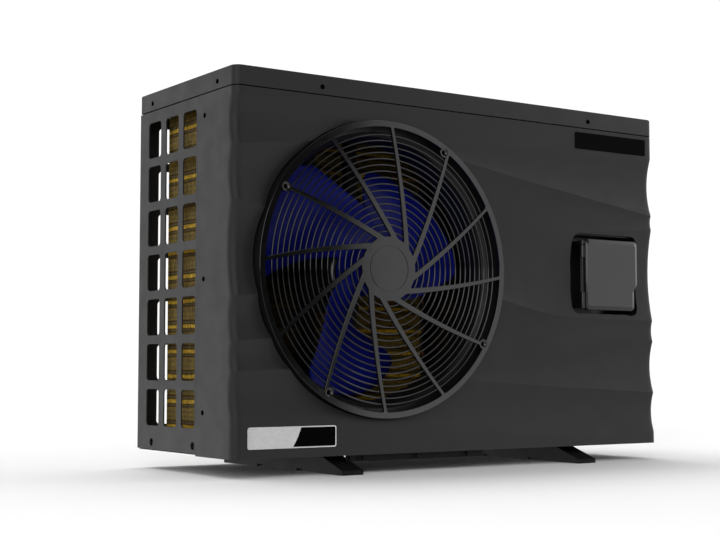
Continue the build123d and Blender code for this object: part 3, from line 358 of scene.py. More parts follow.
MATERIALS = {
    "front_paint": powder_coat("front_paint", 0.0185),
    "sheet_paint": powder_coat("sheet_paint", 0.0215),
    "foot_paint": powder_coat("foot_paint", 0.005, rough=0.55, grain=1.6, sheen=0.1),
    # Tone kept dark: painted shade for the galvanised sheet inside the unit.
    "galvanised": bright_metal("galvanised", 0.13),
    "zinc_fastener": bright_metal("zinc_fastener", 0.3, rough=0.28, spangle=6.0),
    "black_screw": moulding("black_screw", 0.001, rough=0.5, sheen=0.0),
    "grille_plastic": moulding("grille_plastic", 0.006, rough=0.09),
    "shroud_plastic": moulding("shroud_plastic", 0.005, rough=0.45),
    "fan_plastic": fan_blue(),
    "motor_steel": bright_metal("motor_steel", 0.2, rough=0.4, spangle=25.0),
    "shaft_steel": bright_metal("shaft_steel", 0.05, rough=0.3, spangle=60.0),
    "gold_fin": gold_fin(),
    "copper": copper_metal(),
    "compressor_paint": powder_coat("compressor_paint", 0.012, rough=0.3, grain=3.0),
    "rubber": moulding("rubber", 0.016, rough=0.7),
    "valve_brass": brass_metal(),
    "exchanger_pvc": moulding("exchanger_pvc", 0.03, rough=0.35),
    "titanium": bright_metal("titanium", 0.38, rough=0.35, spangle=40.0, warm=0.04),
    "union_plastic": moulding("union_plastic", 0.035),
    "board_green": circuit_green(),
    "terminal_plastic": moulding("terminal_plastic", 0.5, rough=0.45, warm=0.03),
    "gland_nylon": moulding("gland_nylon", 0.012, rough=0.5),
    "pocket_plastic": moulding("pocket_plastic", 0.008, rough=0.35),
    "cover_plastic": moulding("cover_plastic", 0.018, rough=0.14, sheen=0.47),
    "display_glass": tinted_window(),
    "button_rubber": moulding("button_rubber", 0.11, rough=0.6),
    "badge_silver": brushed_plate("badge_silver", 0.72),
    "badge_black": moulding("badge_black", 0.001, rough=0.18, sheen=0.02),
}
for row in frame["record"]["subparts"]:
    mesh = frame["nodes"][row["node"]].data
    mesh.materials.clear()
    mesh.materials.append(MATERIALS[row["material_slot"]])


@contextmanager
def editing(mesh):
    """bmesh of a mesh, written back to it at the end."""
    bm = bmesh.new()
    bm.from_mesh(mesh)
    yield bm
    bm.to_mesh(mesh)
    bm.free()


def evaluated(holder):
    """Mesh of an object with its modifiers applied; the object goes."""
    mesh = bpy.data.meshes.new_from_object(holder.evaluated_get(bpy.context.evaluated_depsgraph_get()))
    bpy.data.objects.remove(holder)
    return mesh


def make_piece(name, mesh, body, slot, stands_for=(), sharp=30.0):
    """Links a finished mesh, gives it its material and ties it to the frame."""
    piece = linked(name, mesh)
    mesh.materials.clear()
    mesh.materials.append(MATERIALS[slot])
    smooth_below(mesh, sharp)
    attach(piece, body)
    if stands_for:
        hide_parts(*stands_for)
    return piece


def smooth_below(mesh, angle):
    """Smooth shading, with edges over the angle kept sharp."""
    mesh.polygons.foreach_set("use_smooth", [True] * len(mesh.polygons))
    with editing(mesh) as bm:
        for edge in bm.edges:
            edge.smooth = len(edge.link_faces) == 2 and edge.calc_face_angle(0) < radians(angle)


def mesh_from(verts, faces):
    """Mesh from millimetre points."""
    mesh = bpy.data.meshes.new("shape")
    mesh.from_pydata([Vector(v) * MM for v in verts], [], faces)
    mesh.validate()
    with editing(mesh) as bm:
        bmesh.ops.recalc_face_normals(bm, faces=bm.faces)
    return mesh


def joined(meshes):
    """One mesh from several."""
    bm = bmesh.new()
    for mesh in meshes:
        bm.from_mesh(mesh)
    out = bpy.data.meshes.new("joined")
    bm.to_mesh(out)
    bm.free()
    return out


def loop_strip(rings, closed_ring=True, closed_path=False):
    """Quads between successive rings of points, capped where closed rings end."""
    verts = [p for ring in rings for p in ring]
    n, faces = len(rings[0]), []
    count = len(rings) if closed_path else len(rings) - 1
    for i in range(count):
        j = (i + 1) % len(rings)
        for k in range(n if closed_ring else n - 1):
            m = (k + 1) % n
            faces.append((i * n + k, i * n + m, j * n + m, j * n + k))
    if closed_ring and not closed_path:
        faces.append(tuple(range(n))[::-1])
        faces.append(tuple((len(rings) - 1) * n + k for k in range(n)))
    return mesh_from(verts, faces)


def lathe(profile, centre, axis="Y", steps=128, closed=True):
    """Turns (radius, height) points about an axis through the centre."""
    rings = []
    for i in range(steps):
        a = tau * i / steps
        ring = []
        for r, h in profile:
            if axis == "Y":
                ring.append((centre[0] + r * cos(a), h, centre[1] + r * sin(a)))
            else:
                ring.append((centre[0] + r * cos(a), centre[1] + r * sin(a), h))
        rings.append(ring)
    return loop_strip(rings, closed_ring=closed, closed_path=True)


def corner_arc(x, z, r, start, steps):
    """Points of a quarter turn."""
    angles = [radians(start + 90 * i / steps) for i in range(steps + 1)]
    return [(x + r * cos(a), z + r * sin(a)) for a in angles]


def rounded_rect(x, z, r, steps=6):
    """Points of a rounded rectangle over the pairs x and z."""
    points = []
    for cx, cz, start in ((x[1] - r, z[1] - r, 0), (x[0] + r, z[1] - r, 90),
                          (x[0] + r, z[0] + r, 180), (x[1] - r, z[0] + r, 270)):
        points += corner_arc(cx, cz, r, start, steps)
    return points


def circle_points(x, z, r, steps=48):
    """Points of a circle, anticlockwise."""
    return [(x + r * cos(tau * i / steps), z + r * sin(tau * i / steps)) for i in range(steps)]


def sheet_with_holes(outlines, thick, edge=0.4, rounds=2):
    """Flat plate with rolled edges: the first outline is its edge and the others are holes.
    It lies in XY with its front up, and its thickness runs down from 0."""
    curve = bpy.data.curves.new("plate", "CURVE")
    curve.dimensions, curve.fill_mode = "2D", "BOTH"
    for outline in outlines:
        spline = curve.splines.new("POLY")
        spline.points.add(len(outline) - 1)
        for point, (u, v) in zip(spline.points, outline):
            point.co = (u * MM, v * MM, 0, 1)
        spline.use_cyclic_u = True
    curve.extrude = (thick / 2 - edge) * MM
    curve.bevel_depth, curve.bevel_resolution = edge * MM, rounds
    curve.offset = -edge * MM
    mesh = evaluated(linked("plate", curve))
    mesh.transform(Matrix.Translation((0, 0, -thick / 2 * MM)))
    return mesh


# Each turns a plate from lying with its front up to standing with its front to one side of the unit.
FACE_FRONT = Matrix(((1, 0, 0, 0), (0, 0, -1, 0), (0, 1, 0, 0), (0, 0, 0, 1)))
FACE_REAR = Matrix(((-1, 0, 0, 0), (0, 0, 1, 0), (0, 1, 0, 0), (0, 0, 0, 1)))
FACE_LEFT = Matrix(((0, 0, -1, 0), (-1, 0, 0, 0), (0, 1, 0, 0), (0, 0, 0, 1)))
FACE_RIGHT = Matrix(((0, 0, 1, 0), (1, 0, 0, 0), (0, 1, 0, 0), (0, 0, 0, 1)))


def placed(mesh, facing, offset):
    """Stands a plate upright, its front at the offset along its facing axis."""
    mesh.transform(Matrix.Translation(Vector(offset) * MM) @ facing)
    return mesh


def cut(mesh, cutter):
    """Mesh with another mesh taken away from it."""
    whole, tool = linked("whole", mesh), linked("tool", cutter)
    mod = whole.modifiers.new("cut", "BOOLEAN")
    mod.operation, mod.solver, mod.object = "DIFFERENCE", "EXACT", tool
    out = evaluated(whole)
    bpy.data.objects.remove(tool)
    return out


def modified(mesh, kind, **settings):
    """Mesh after one modifier."""
    holder = linked("holder", mesh)
    mod = holder.modifiers.new(kind.lower(), kind)
    for key, value in settings.items():
        setattr(mod, key, value)
    return evaluated(holder)


def welded(mesh):
    """Closed mesh from one whose poles or seams hold doubled points."""
    with editing(mesh) as bm:
        bmesh.ops.remove_doubles(bm, verts=bm.verts, dist=0.05 * MM)
        bmesh.ops.recalc_face_normals(bm, faces=bm.faces)
    return mesh


def block(x, y, z):
    """Box over three pairs of limits."""
    verts = [(a, b, c) for a in x for b in y for c in z]
    faces = [(0, 1, 3, 2), (4, 6, 7, 5), (0, 4, 5, 1), (2, 3, 7, 6), (0, 2, 6, 4), (1, 5, 7, 3)]
    return mesh_from(verts, faces)


def bevelled(mesh, width, segments=2, angle=30.0):
    """Mesh with its edges over the angle rounded."""
    return modified(mesh, "BEVEL", width=width * MM, segments=segments, limit_method="ANGLE",
                    angle_limit=radians(angle), harden_normals=False)


# ---------------------------------------------------------------- front cover
# (x, height above the casing's foot) along each ridge of the wavy front.
CRESTS = {
    "crown": [(X0, 615), (-267, 590), (-3, 535), (X1, 460)],
    "brow": [(X0, 525), (-300, 548), (-17, 566), (X1, 580)],
    "upper_fall": [(X0, 437), (-418, 419), (82, 281), (260, 250), (X1, 247)],
    "upper_rise": [(X0, 271), (-431, 277), (83, 397), (X1, 435)],
    "lower_fall": [(X0, 196), (-406, 201), (7, 130), (X1, 101)],
    "lower_rise": [(X0, 146), (-384, 149), (24, 146), (222, 165), (X1, 208)],
    "foot": [(X0, 77), (-307, 65), (331, 19), (X1, 24)],
}
CREST_GAP = 9.0  # ridges stay this far apart
SCALLOP_MAX = 11.0  # deepest hollow
SCALLOP_RATIO = 0.09  # depth of a hollow over its height
FRONT_WALL = 2.5
ROWS_PER_BAY = 9
SIDE_COUNT, TURN_COUNT, FRONT_COUNT = 7, 7, 150  # columns along a side, round an edge, over the front
CUT_FRONT, CUT_REAR = Y0 - 30, Y0 + 40  # ends of the cutters that open the front
RIM_GAP = 1.2  # between the grille's rim and its opening
POCKET_INSET, POCKET_R = 10.0, 18.0
SLIVER = 0.01  # radius of a lathe's open pole


def smooth_height(points, x):
    """Monotone cubic through a crest's points."""
    xs, zs = [p[0] for p in points], [p[1] for p in points]
    if x <= xs[0]:
        return zs[0]
    if x >= xs[-1]:
        return zs[-1]
    i = max(k for k in range(len(xs) - 1) if xs[k] <= x)
    slope = [(zs[k + 1] - zs[k]) / (xs[k + 1] - xs[k]) for k in range(len(xs) - 1)]
    tangent = [slope[0]]
    for a, b in zip(slope, slope[1:]):
        tangent.append(0 if a * b <= 0 else 2 * a * b / (a + b))
    tangent.append(slope[-1])
    h = xs[i + 1] - xs[i]
    t = (x - xs[i]) / h
    rise = (3 - 2 * t) * t * t * (zs[i + 1] - zs[i])
    return zs[i] + rise + h * t * (1 - t) * ((1 - t) * tangent[i] - t * tangent[i + 1])


def crest_heights(x):
    """Sorted crest heights at x, kept apart by the least gap."""
    z = sorted(ZB + smooth_height(p, x) for p in CRESTS.values())
    for i in range(1, len(z)):
        z[i] = max(z[i], z[i - 1] + CREST_GAP)
    return z


def wave_rows(x):
    """(height, setback) pairs up the front at x."""
    stops = [ZB, *crest_heights(x), ZP]
    rows = []
    for bay, (low, high) in enumerate(zip(stops, stops[1:])):
        flat = bay in (0, len(stops) - 2)
        depth = 0.0 if flat else min(SCALLOP_MAX, SCALLOP_RATIO * (high - low))
        for i in range(ROWS_PER_BAY):
            t = i / ROWS_PER_BAY
            rows.append((low + (high - low) * t, 4 * depth * t * (1 - t)))
    rows.append((ZP, 0.0))
    return rows


def cover_columns():
    """Functions of the setback that give a point's plan place, from the left seam to the right seam."""
    columns = []
    for side in (-1, 1):
        edge = side * X1
        strip = []
        for i in range(SIDE_COUNT):
            s = i / (SIDE_COUNT - 1)
            strip.append((edge - side * CORNER_R,
                          lambda w, e=edge, s=s: (e, Y_RET + (Y0 + w + CORNER_R - Y_RET) * s)))
        for i in range(1, TURN_COUNT + 1):
            a = pi / 2 * i / TURN_COUNT
            strip.append((edge - side * CORNER_R, lambda w, e=edge, a=a, d=side: (
                e - d * CORNER_R * (1 - cos(a)), Y0 + w + CORNER_R * (1 - sin(a)))))
        columns.append(strip)
    middle = []
    for i in range(1, FRONT_COUNT):
        x = X0 + CORNER_R + (X1 - X0 - 2 * CORNER_R) * i / FRONT_COUNT
        middle.append((x, lambda w, x=x: (x, Y0 + w)))
    return columns[0] + middle + columns[1][::-1]


def drill(x, z, r, y_front, y_rear, steps):
    """Solid cylinder along Y, to cut a round hole with."""
    profile = [(SLIVER, y_front), (r, y_front), (r, y_rear), (SLIVER, y_rear)]
    return welded(lathe(profile, (x, z), steps=steps, closed=False))


def front_cover():
    """Wavy skin wrapped round both sides, open for the grille and the control pocket."""
    rings = []
    for x, place in cover_columns():
        rings.append([(*place(w), z) for z, w in wave_rows(x)])
    skin = loop_strip(rings, closed_ring=False)
    outward = skin.polygons[len(skin.polygons) // 2].normal.y < 0
    skin = modified(skin, "SOLIDIFY", thickness=FRONT_WALL * MM, offset=-1.0 if outward else 1.0,
                    use_even_offset=True)
    skin = cut(skin, drill(FAN_X, FAN_Z, RING_R + RIM_GAP, CUT_FRONT, CUT_REAR, steps=160))
    low, high = corners("control_pocket")
    outline = rounded_rect((low.x + POCKET_INSET, high.x - POCKET_INSET),
                           (low.z + POCKET_INSET, high.z - POCKET_INSET), POCKET_R, steps=8)
    cutter = loop_strip([[(u, y, v) for u, v in outline] for y in (CUT_FRONT, CUT_REAR)])
    skin = cut(skin, cutter)
    make_piece("front_cover", skin, "casing", "front_paint", ["front_panel"], sharp=22)


front_cover()


# ---------------------------------------------------------------- lid
REAR_R = 4.0
LID_SHEET, LID_SOFT, LID_STEPS = 1.5, 3.0, 5  # sheet, radius of the top edge, rings round it
CORNER_SHRINK = 0.6  # corners tighten by this share of the inset


def lid_outline(inset, r_front, r_rear, steps=8):
    """Plan of the lid: rounded front corners and nearly square rear corners."""
    points = []
    for side_x, side_y, start in ((1, 1, 0), (-1, 1, 90), (-1, -1, 180), (1, -1, 270)):
        r = r_rear if side_y > 0 else r_front
        points += corner_arc(side_x * (X1 - inset - r), side_y * (Y1 - inset - r), r, start, steps)
    return points


def lid():
    """Folded lid with soft top edges and an open underside."""
    levels = [(0.0, LID_LOW.z)]
    for i in range(LID_STEPS + 1):
        a = pi / 2 * i / LID_STEPS
        levels.append((LID_SOFT * (1 - cos(a)), ZT - LID_SOFT * (1 - sin(a))))
    rings = []
    for inset, z in levels:
        outline = lid_outline(inset, CORNER_R - inset * CORNER_SHRINK, REAR_R - inset * CORNER_SHRINK)
        rings.append([(u, v, z) for u, v in outline])
    verts = [p for ring in rings for p in ring]
    n = len(rings[0])
    faces = [(i * n + k, i * n + (k + 1) % n, (i + 1) * n + (k + 1) % n, (i + 1) * n + k)
             for i in range(len(rings) - 1) for k in range(n)]
    faces.append(tuple((len(rings) - 1) * n + k for k in range(n)))
    skin = mesh_from(verts, faces)
    skin = modified(skin, "SOLIDIFY", thickness=LID_SHEET * MM, offset=-1.0, use_even_offset=True)
    make_piece("lid", skin, "casing", "sheet_paint", ["top_cover"], sharp=40)


lid()


# ---------------------------------------------------------------- grille panels
OPEN_H, OPEN_PITCH, OPEN_TOP, OPEN_ROWS, OPEN_R = 66.0, 81.8, ZB + 603.8, 7, 7.0
OPEN_W = 50.0
SIDE_COLUMNS = (-20.0, 49.0, 119.0)
LIFT_HOLES, LIFT_UP, LIFT_R = (-39, 122), 17, 7  # round holes: places, height above the foot, radius
REAR_COLUMNS, REAR_LEFT, REAR_MARGIN = 8, 14, 26  # count, first margin, both margins together
REAR_BAR, REAR_GAP = 9, 0.3  # half a bar between rear openings, and the gap beside the service panel
PLATE = 2.6
EDGE_R, SEAM = 0.6, 0.4
FOLD, FOLD_SHEET = 14, 1.5


def row_spans():
    """(bottom, top) of each row of openings."""
    return [(OPEN_TOP - OPEN_PITCH * k - OPEN_H, OPEN_TOP - OPEN_PITCH * k) for k in range(OPEN_ROWS)]


def left_panel():
    """Side panel with three columns of openings, two round holes and a folded rear edge."""
    low, high = corners("left_grille_panel")
    outlines = [rounded_rect((-Y1, -Y_RET - SEAM), (low.z, high.z), EDGE_R, 2)]
    for span in row_spans():
        for y in SIDE_COLUMNS:
            outlines.append(rounded_rect((-y - OPEN_W / 2, -y + OPEN_W / 2), span, OPEN_R))
    for y in LIFT_HOLES:
        outlines.append(circle_points(-y, ZB + LIFT_UP, LIFT_R, 24))
    plate = placed(sheet_with_holes(outlines, PLATE), FACE_LEFT, (X0, 0, 0))
    fold = block((X0 + PLATE, X0 + FOLD), (Y1 - FOLD_SHEET, Y1), (low.z, high.z))
    make_piece("left_panel", joined([plate, fold]), "casing", "sheet_paint", ["left_grille_panel"])


def rear_panel():
    """Rear panel with the same rows of openings in eight columns."""
    low, high = corners("rear_grille_panel")
    outlines = [rounded_rect((-high.x, -low.x), (low.z, high.z), EDGE_R, 2)]
    pitch = (high.x + REAR_GAP - low.x - REAR_MARGIN) / REAR_COLUMNS
    for k in range(REAR_COLUMNS):
        x = low.x + REAR_LEFT + pitch * (k + 0.5)
        for span in row_spans():
            across = (-x - pitch / 2 + REAR_BAR, -x + pitch / 2 - REAR_BAR)
            outlines.append(rounded_rect(across, span, OPEN_R))
    plate = placed(sheet_with_holes(outlines, PLATE), FACE_REAR, (0, Y1, 0))
    make_piece("rear_panel", plate, "casing", "sheet_paint", ["rear_grille_panel"])


left_panel()
rear_panel()


# ---------------------------------------------------------------- fan grille
Y_RING = GRILLE_LOW.y
DISC_R, RIM_W, GROOVE_R, GROOVE_W = 57.5, 11.0, 41.0, 0.9
R_IN = RING_R - RIM_W
PLATE_T = 5.6  # depth of the disc, spokes and rim
WIRES, WIRE_R = 16, 1.4
SPOKES, SPOKE_SWIRL, SPOKE_TURN = 12, 60.0, -1.5
SPOKE_HUB, SPOKE_RIM, SPOKE_BOW = 5.4, 2.9, 5.0
BOSS_AT, BOSS_R, SINK_R, HEAD_R, SINK_DEPTH = 251.0, 9.0, 6.4, 3.2, 3.0
BOSS_ANGLES = (60.3, 148.2, 240.0, 328.4)
WIRE_FIRST, WIRE_STEP, WIRE_DRIFT = 239.6, 10.43, 0.0737  # the gaps widen slightly inwards
WIRE_INSET = 0.2
ROOT_TUCK, RIM_TUCK = 12, 3  # spoke lines run on into the disc and the rim
HUB_SOFT, RIM_SOFT = 6.0, 4.0  # rounding of an opening's corners
FAN_C = (FAN_X, FAN_Z)


def grille_wire(k):
    """Round wire k, counted from the rim, let into the back of the spokes."""
    radius = WIRE_FIRST - WIRE_STEP * k - WIRE_DRIFT * k * k
    profile = circle_points(radius, Y_RING + PLATE_T - WIRE_R - WIRE_INSET, WIRE_R, 10)
    return lathe(profile, FAN_C, steps=144)


def spoke_edges(k, steps=16):
    """Both edges of a spoke, from the hub to the rim, about the fan's centre."""
    a_rim = radians(SPOKE_TURN + 360 / SPOKES * k)
    a_hub = a_rim - radians(SPOKE_SWIRL)
    hub = Vector((cos(a_hub), sin(a_hub))) * (DISC_R - ROOT_TUCK)
    rim = Vector((cos(a_rim), sin(a_rim))) * (R_IN + RIM_TUCK)
    across = (rim - hub).normalized().orthogonal()
    left, right = [], []
    for i in range(steps + 1):
        t = i / steps
        point = hub.lerp(rim, t) - across * SPOKE_BOW * 4 * t * (1 - t)
        half = SPOKE_HUB + (SPOKE_RIM - SPOKE_HUB) * t
        left.append(point + across * half)
        right.append(point - across * half)
    return left, right


def clipped(edge):
    """The stretch of a spoke's edge between the disc and the rim."""
    inside = [p for p in edge if DISC_R < p.length < R_IN]
    ends = []
    for radius in (DISC_R, R_IN):
        for a, b in zip(edge, edge[1:]):
            if a.length <= radius <= b.length:
                ends.append(a.lerp(b, (radius - a.length) / max(b.length - a.length, 1e-6)))
                break
    return [ends[0], *inside, ends[1]]


def arc_between(a, b, radius, steps):
    """Points strictly between two points of a circle about the centre, the short way."""
    start = Vector((1, 0)).angle_signed(a)
    turn = a.angle_signed(b)
    points = []
    for i in range(1, steps):
        angle = -(start + turn * i / steps)
        points.append(Vector((cos(angle), sin(angle))) * radius)
    return points


def softened(outline, reaches, steps=5):
    """Rounds the numbered corners of an outline by quadratic curves of the given reach."""
    points = []
    for i, p in enumerate(outline):
        reach = reaches.get(i)
        if reach is None:
            points.append(p)
            continue
        before, after = outline[i - 1], outline[(i + 1) % len(outline)]
        a = p + (before - p).normalized() * min(reach, (before - p).length * 0.9)
        b = p + (after - p).normalized() * min(reach, (after - p).length * 0.9)
        for k in range(steps + 1):
            t = k / steps
            points.append(a * (1 - t) ** 2 + p * 2 * t * (1 - t) + b * t * t)
    return points


def grille_opening(k):
    """Outline of the opening between spoke k and the next, anticlockwise."""
    near, far = clipped(spoke_edges(k)[0]), clipped(spoke_edges(k + 1)[1])
    rim = arc_between(near[-1], far[-1], R_IN, 14)
    hub = arc_between(far[0], near[0], DISC_R, 4)
    outline = near + rim + far[::-1] + hub
    rim_start, rim_end = len(near) - 1, len(near) + len(rim)
    hub_start = rim_end + len(far) - 1
    return softened(outline, {0: HUB_SOFT, rim_start: RIM_SOFT, rim_end: RIM_SOFT, hub_start: HUB_SOFT})


def boss_places():
    """(x, z) of the four grille screws."""
    for angle in BOSS_ANGLES:
        a = radians(angle)
        yield FAN_X + BOSS_AT * cos(a), FAN_Z + BOSS_AT * sin(a)


def fan_grille():
    """Flat plate of rim, spokes and grooved disc, with screw bosses and round wires."""
    outlines = [circle_points(0, 0, RING_R, 180)]
    outlines += [[(p.x, p.y) for p in grille_opening(k)] for k in range(SPOKES)]
    plate = placed(sheet_with_holes(outlines, PLATE_T, 0.5, 0), FACE_FRONT, (FAN_X, Y_RING, FAN_Z))
    ring = [(GROOVE_R - GROOVE_W, Y_RING - 1), (GROOVE_R + GROOVE_W, Y_RING - 1),
            (GROOVE_R + GROOVE_W * 0.6, Y_RING + 0.8), (GROOVE_R - GROOVE_W * 0.6, Y_RING + 0.8)]
    plate = cut(plate, lathe(ring, FAN_C, steps=120))
    bosses = []
    for x, z in boss_places():
        boss = [(HEAD_R, Y_RING + PLATE_T), (HEAD_R, Y_RING + SINK_DEPTH), (SINK_R, Y_RING + 0.1),
                (SINK_R + 0.5, Y_RING - 0.1), (BOSS_R - 0.4, Y_RING - 0.05), (BOSS_R, Y_RING + 0.3),
                (BOSS_R, Y_RING + PLATE_T)]
        plate = cut(plate, drill(x, z, SINK_R, Y_RING - 2, Y_RING + 9, steps=32))
        bosses.append(lathe(boss, (x, z), steps=40))
    wires = [grille_wire(k) for k in range(WIRES)]
    mesh = joined([plate, *bosses, *wires])
    make_piece("grille", mesh, "casing", "grille_plastic", ["fan_grille"], sharp=35)


fan_grille()


# ---------------------------------------------------------------- fan impeller
HUB_R, HUB_WALL, FAN_R, BORE = 46.0, 4, 226.0, 6.2
HUB_FRONT, HUB_BACK, HUB_SKIN = Y0 + 28.0, Y0 + 92.0, 14
BLADES, BLADE_T, BLADE_SAG = 3, 3.2, 7.0
BLADE_TUCK, TIP_GAP = 2, 1  # into the hub, and short of the fan's radius
RADIAL, CHORDWISE = 30, 22
TIP_TRIM, TIP_FROM, TIP_SPAN, FRONT_TRIM = 9.0, 200, 25, 0.6  # how the tip corners are rounded
EDGE_T = 0.2  # half the thickness at the very edge
# Radius, then angle and depth of the front edge, then angle and depth of the rear edge.
BLADE = [
    (43.0, 71, -135, 149, -97),
    (70.0, 80, -133, 160, -52),
    (100.0, 90, -132, 172, -22),
    (131.0, 103, -129, 180, -15),
    (160.0, 111, -120, 186, -13),
    (190.0, 116, -110, 190, -13),
    (229.0, 119, -95, 189, -13),
]


def blade_edges(r):
    """Angles and depths of both edges at radius r, on a smooth curve through the stations."""
    k = max(i for i in range(len(BLADE) - 1) if BLADE[i][0] <= r)
    values = []
    t = (r - BLADE[k][0]) / (BLADE[k + 1][0] - BLADE[k][0])
    rows = [BLADE[max(k - 1, 0)], BLADE[k], BLADE[k + 1], BLADE[min(k + 2, len(BLADE) - 1)]]
    for a, b, c, d in zip(*(row[1:] for row in rows)):
        values.append(b + 0.5 * t * (c - a + t * (2 * a - 5 * b + 4 * c - d + t * (3 * (b - c) + d - a))))
    return values


def blade(turn):
    """One swept blade as a closed sheet with rounded edges and tip corners."""
    rings = []
    for i in range(RADIAL + 1):
        r = HUB_R - BLADE_TUCK + (FAN_R - TIP_GAP - HUB_R + BLADE_TUCK) * i / RADIAL
        a_front, y_front, a_rear, y_rear = blade_edges(r)
        trim = TIP_TRIM * max(0.0, (r - TIP_FROM) / TIP_SPAN) ** 3
        a_front, a_rear = a_front + trim * FRONT_TRIM, a_rear - trim
        ring = []
        for j in range(2 * CHORDWISE):
            s = cos(pi * j / CHORDWISE)
            t = (1 - s) / 2
            side = 1 if j < CHORDWISE else -1
            thick = BLADE_T / 2 * min(1.0, 3.0 * sqrt(max(0.0, 1 - s * s))) + EDGE_T
            a = radians(turn + a_front + (a_rear - a_front) * t)
            y = y_front + (y_rear - y_front) * t - BLADE_SAG * 4 * t * (1 - t) + side * thick
            ring.append((FAN_X + r * cos(a), y, FAN_Z + r * sin(a)))
        rings.append(ring)
    return loop_strip(rings)


def impeller():
    """Hub with a rounded nose and a central tube, and its blades."""
    hub = [(BORE, HUB_FRONT), (30, HUB_FRONT), (HUB_R - 6, HUB_FRONT + 1.5), (HUB_R - 1.5, HUB_FRONT + 5),
           (HUB_R, HUB_FRONT + 10), (HUB_R, HUB_BACK), (HUB_R - HUB_WALL, HUB_BACK),
           (HUB_R - HUB_WALL, HUB_FRONT + HUB_SKIN), (14, HUB_FRONT + HUB_SKIN), (14, HUB_BACK),
           (BORE, HUB_BACK)]
    parts = [lathe(hub, FAN_C, steps=72)]
    parts += [blade(360 / BLADES * k) for k in range(BLADES)]
    make_piece("impeller", joined(parts), "fan", "fan_plastic", ["fan_impeller"], sharp=40)


impeller()


# ---------------------------------------------------------------- coil
COIL_T, COIL_R = 38.0, 58.0
FIN_PITCH, FIN_T, FIN_PROUD = 2.2, 0.35, 1.8
CORE_SHORT = 2  # the core stops this far inside the fins' ends


def coil_path(low, high):
    """(x, y, direction) of the coil's outer line at each fin."""
    stops = []
    corner_x, corner_y = low.x + COIL_R, high.y - COIL_R
    y = low.y + FIN_PITCH / 2
    while y < corner_y:
        stops.append((low.x, y, 180.0))
        y += FIN_PITCH
    turns = int(COIL_R * pi / 2 / FIN_PITCH)
    for i in range(turns):
        a = 180 - 90 * (i + 0.5) / turns
        stops.append((corner_x + COIL_R * cos(radians(a)), corner_y + COIL_R * sin(radians(a)), a))
    x = corner_x
    while x < high.x:
        stops.append((x, high.y, 90.0))
        x += FIN_PITCH
    return stops


def fin(x, y, outward, z):
    """One thin plate across the coil, its outer edge on the coil's outer line."""
    a = radians(outward)
    out, side = Vector((cos(a), sin(a))), Vector((-sin(a), cos(a))) * FIN_T / 2
    outer, inner = Vector((x, y)), Vector((x, y)) - out * COIL_T
    quad = [outer + side, outer - side, inner - side, inner + side]
    return [(p.x, p.y, h) for h in z for p in quad]


def coil():
    """Fins along the coil's bent line, and the solid core between them."""
    low, high = corners("coil_fins")
    z = (low.z, high.z)
    core_low, core_high = z[0] + CORE_SHORT, z[1] - CORE_SHORT
    verts, faces = [], []
    for stop in coil_path(low, high):
        n = len(verts)
        verts += fin(*stop, z)
        faces += [(n, n + 1, n + 2, n + 3), (n + 7, n + 6, n + 5, n + 4)]
        faces += [(n + k, n + 4 + k, n + 4 + (k + 1) % 4, n + (k + 1) % 4) for k in range(4)]
    fins = mesh_from(verts, faces)
    rings = []
    for x, y, outward in coil_path(low, high):
        a = radians(outward)
        out = Vector((cos(a), sin(a)))
        outer = Vector((x, y)) - out * FIN_PROUD
        inner = Vector((x, y)) - out * (COIL_T - FIN_PROUD)
        rings.append([(outer.x, outer.y, core_low), (outer.x, outer.y, core_high),
                      (inner.x, inner.y, core_high), (inner.x, inner.y, core_low)])
    make_piece("coil", joined([fins, loop_strip(rings)]), "casing", "gold_fin", ["coil_fins"])


coil()


# ---------------------------------------------------------------- fillers
# Place of the dark plate that paints the shade behind the lip's slots.
SLOT_SHADE_X = (FAN_X - 79.0, FAN_X + 227.0)
SLOT_SHADE_Y = (Y0 + 9.0, Y0 + 10.2)


def pan_backing():
    """Dark plate close behind the base pan's front lip: painted shade seen through the lip's slots."""
    plate = block(SLOT_SHADE_X, SLOT_SHADE_Y, (corners("base_pan")[0].z + 0.5, ZB + 0.9))
    make_piece("pan_slot_shade_plate", bevelled(plate, 0.3), "casing", "foot_paint")


pan_backing()


def seal_strip():
    """Black foam between the coil's end and the partition, which no air passes."""
    coil_high, wall_low = corners("coil_end_plates")[1], corners("partition_panel")[0]
    z = [corner.z for corner in corners("coil_fins")]
    strip = block((coil_high.x - 1.5, wall_low.x - 0.2), (coil_high.y - 8, coil_high.y), z)
    make_piece("coil_seal_strip", bevelled(strip, 1.0), "casing", "gland_nylon")


seal_strip()


# ---------------------------------------------------------------- control cover
COVER_R, NOTCH_IN, NOTCH_UP, NOTCH_RISE = 9.0, 9.0, 53.0, 1.3
LEFT_SHARE = 0.3  # the border is narrower on the hinge side
COVER_RINGS = [(0.0, 4.2), (0.8, 3.0), (6.8, 0.5), (8.0, 0.0)]  # inset, depth behind the face
KNUCKLE_R, PIN_R, KNUCKLE_EDGE = 4.5, 2.1, 0.4
KNUCKLE_SPANS = ((ZB + 276.4, ZB + 300.0), (ZB + 369.0, ZB + 392.6))
HINGE_SIDE = 8.5  # the face starts this far from the knuckles' outer side


def cover_outline(x, z, inset, steps=6):
    """Rounded plate with a finger notch at its lower right, inset all round, anticlockwise."""
    r = COVER_R - inset * 0.4
    x0, x1, z0, z1 = x[0] + inset * LEFT_SHARE, x[1] - inset, z[0] + inset, z[1] - inset
    x_notch, z_notch = x1 - NOTCH_IN, z[0] + NOTCH_UP - inset
    points = []
    for cx, cz, start in ((x1 - r, z1 - r, 0), (x0 + r, z1 - r, 90), (x0 + r, z0 + r, 180),
                          (x_notch - r, z0 + r, 270)):
        points += corner_arc(cx, cz, r, start, steps)
    for i in range(steps + 1):
        t = i / steps
        rise = z_notch - NOTCH_IN + NOTCH_RISE * NOTCH_IN * t
        points.append((x_notch + NOTCH_IN * (3 - 2 * t) * t * t, rise))
    return points


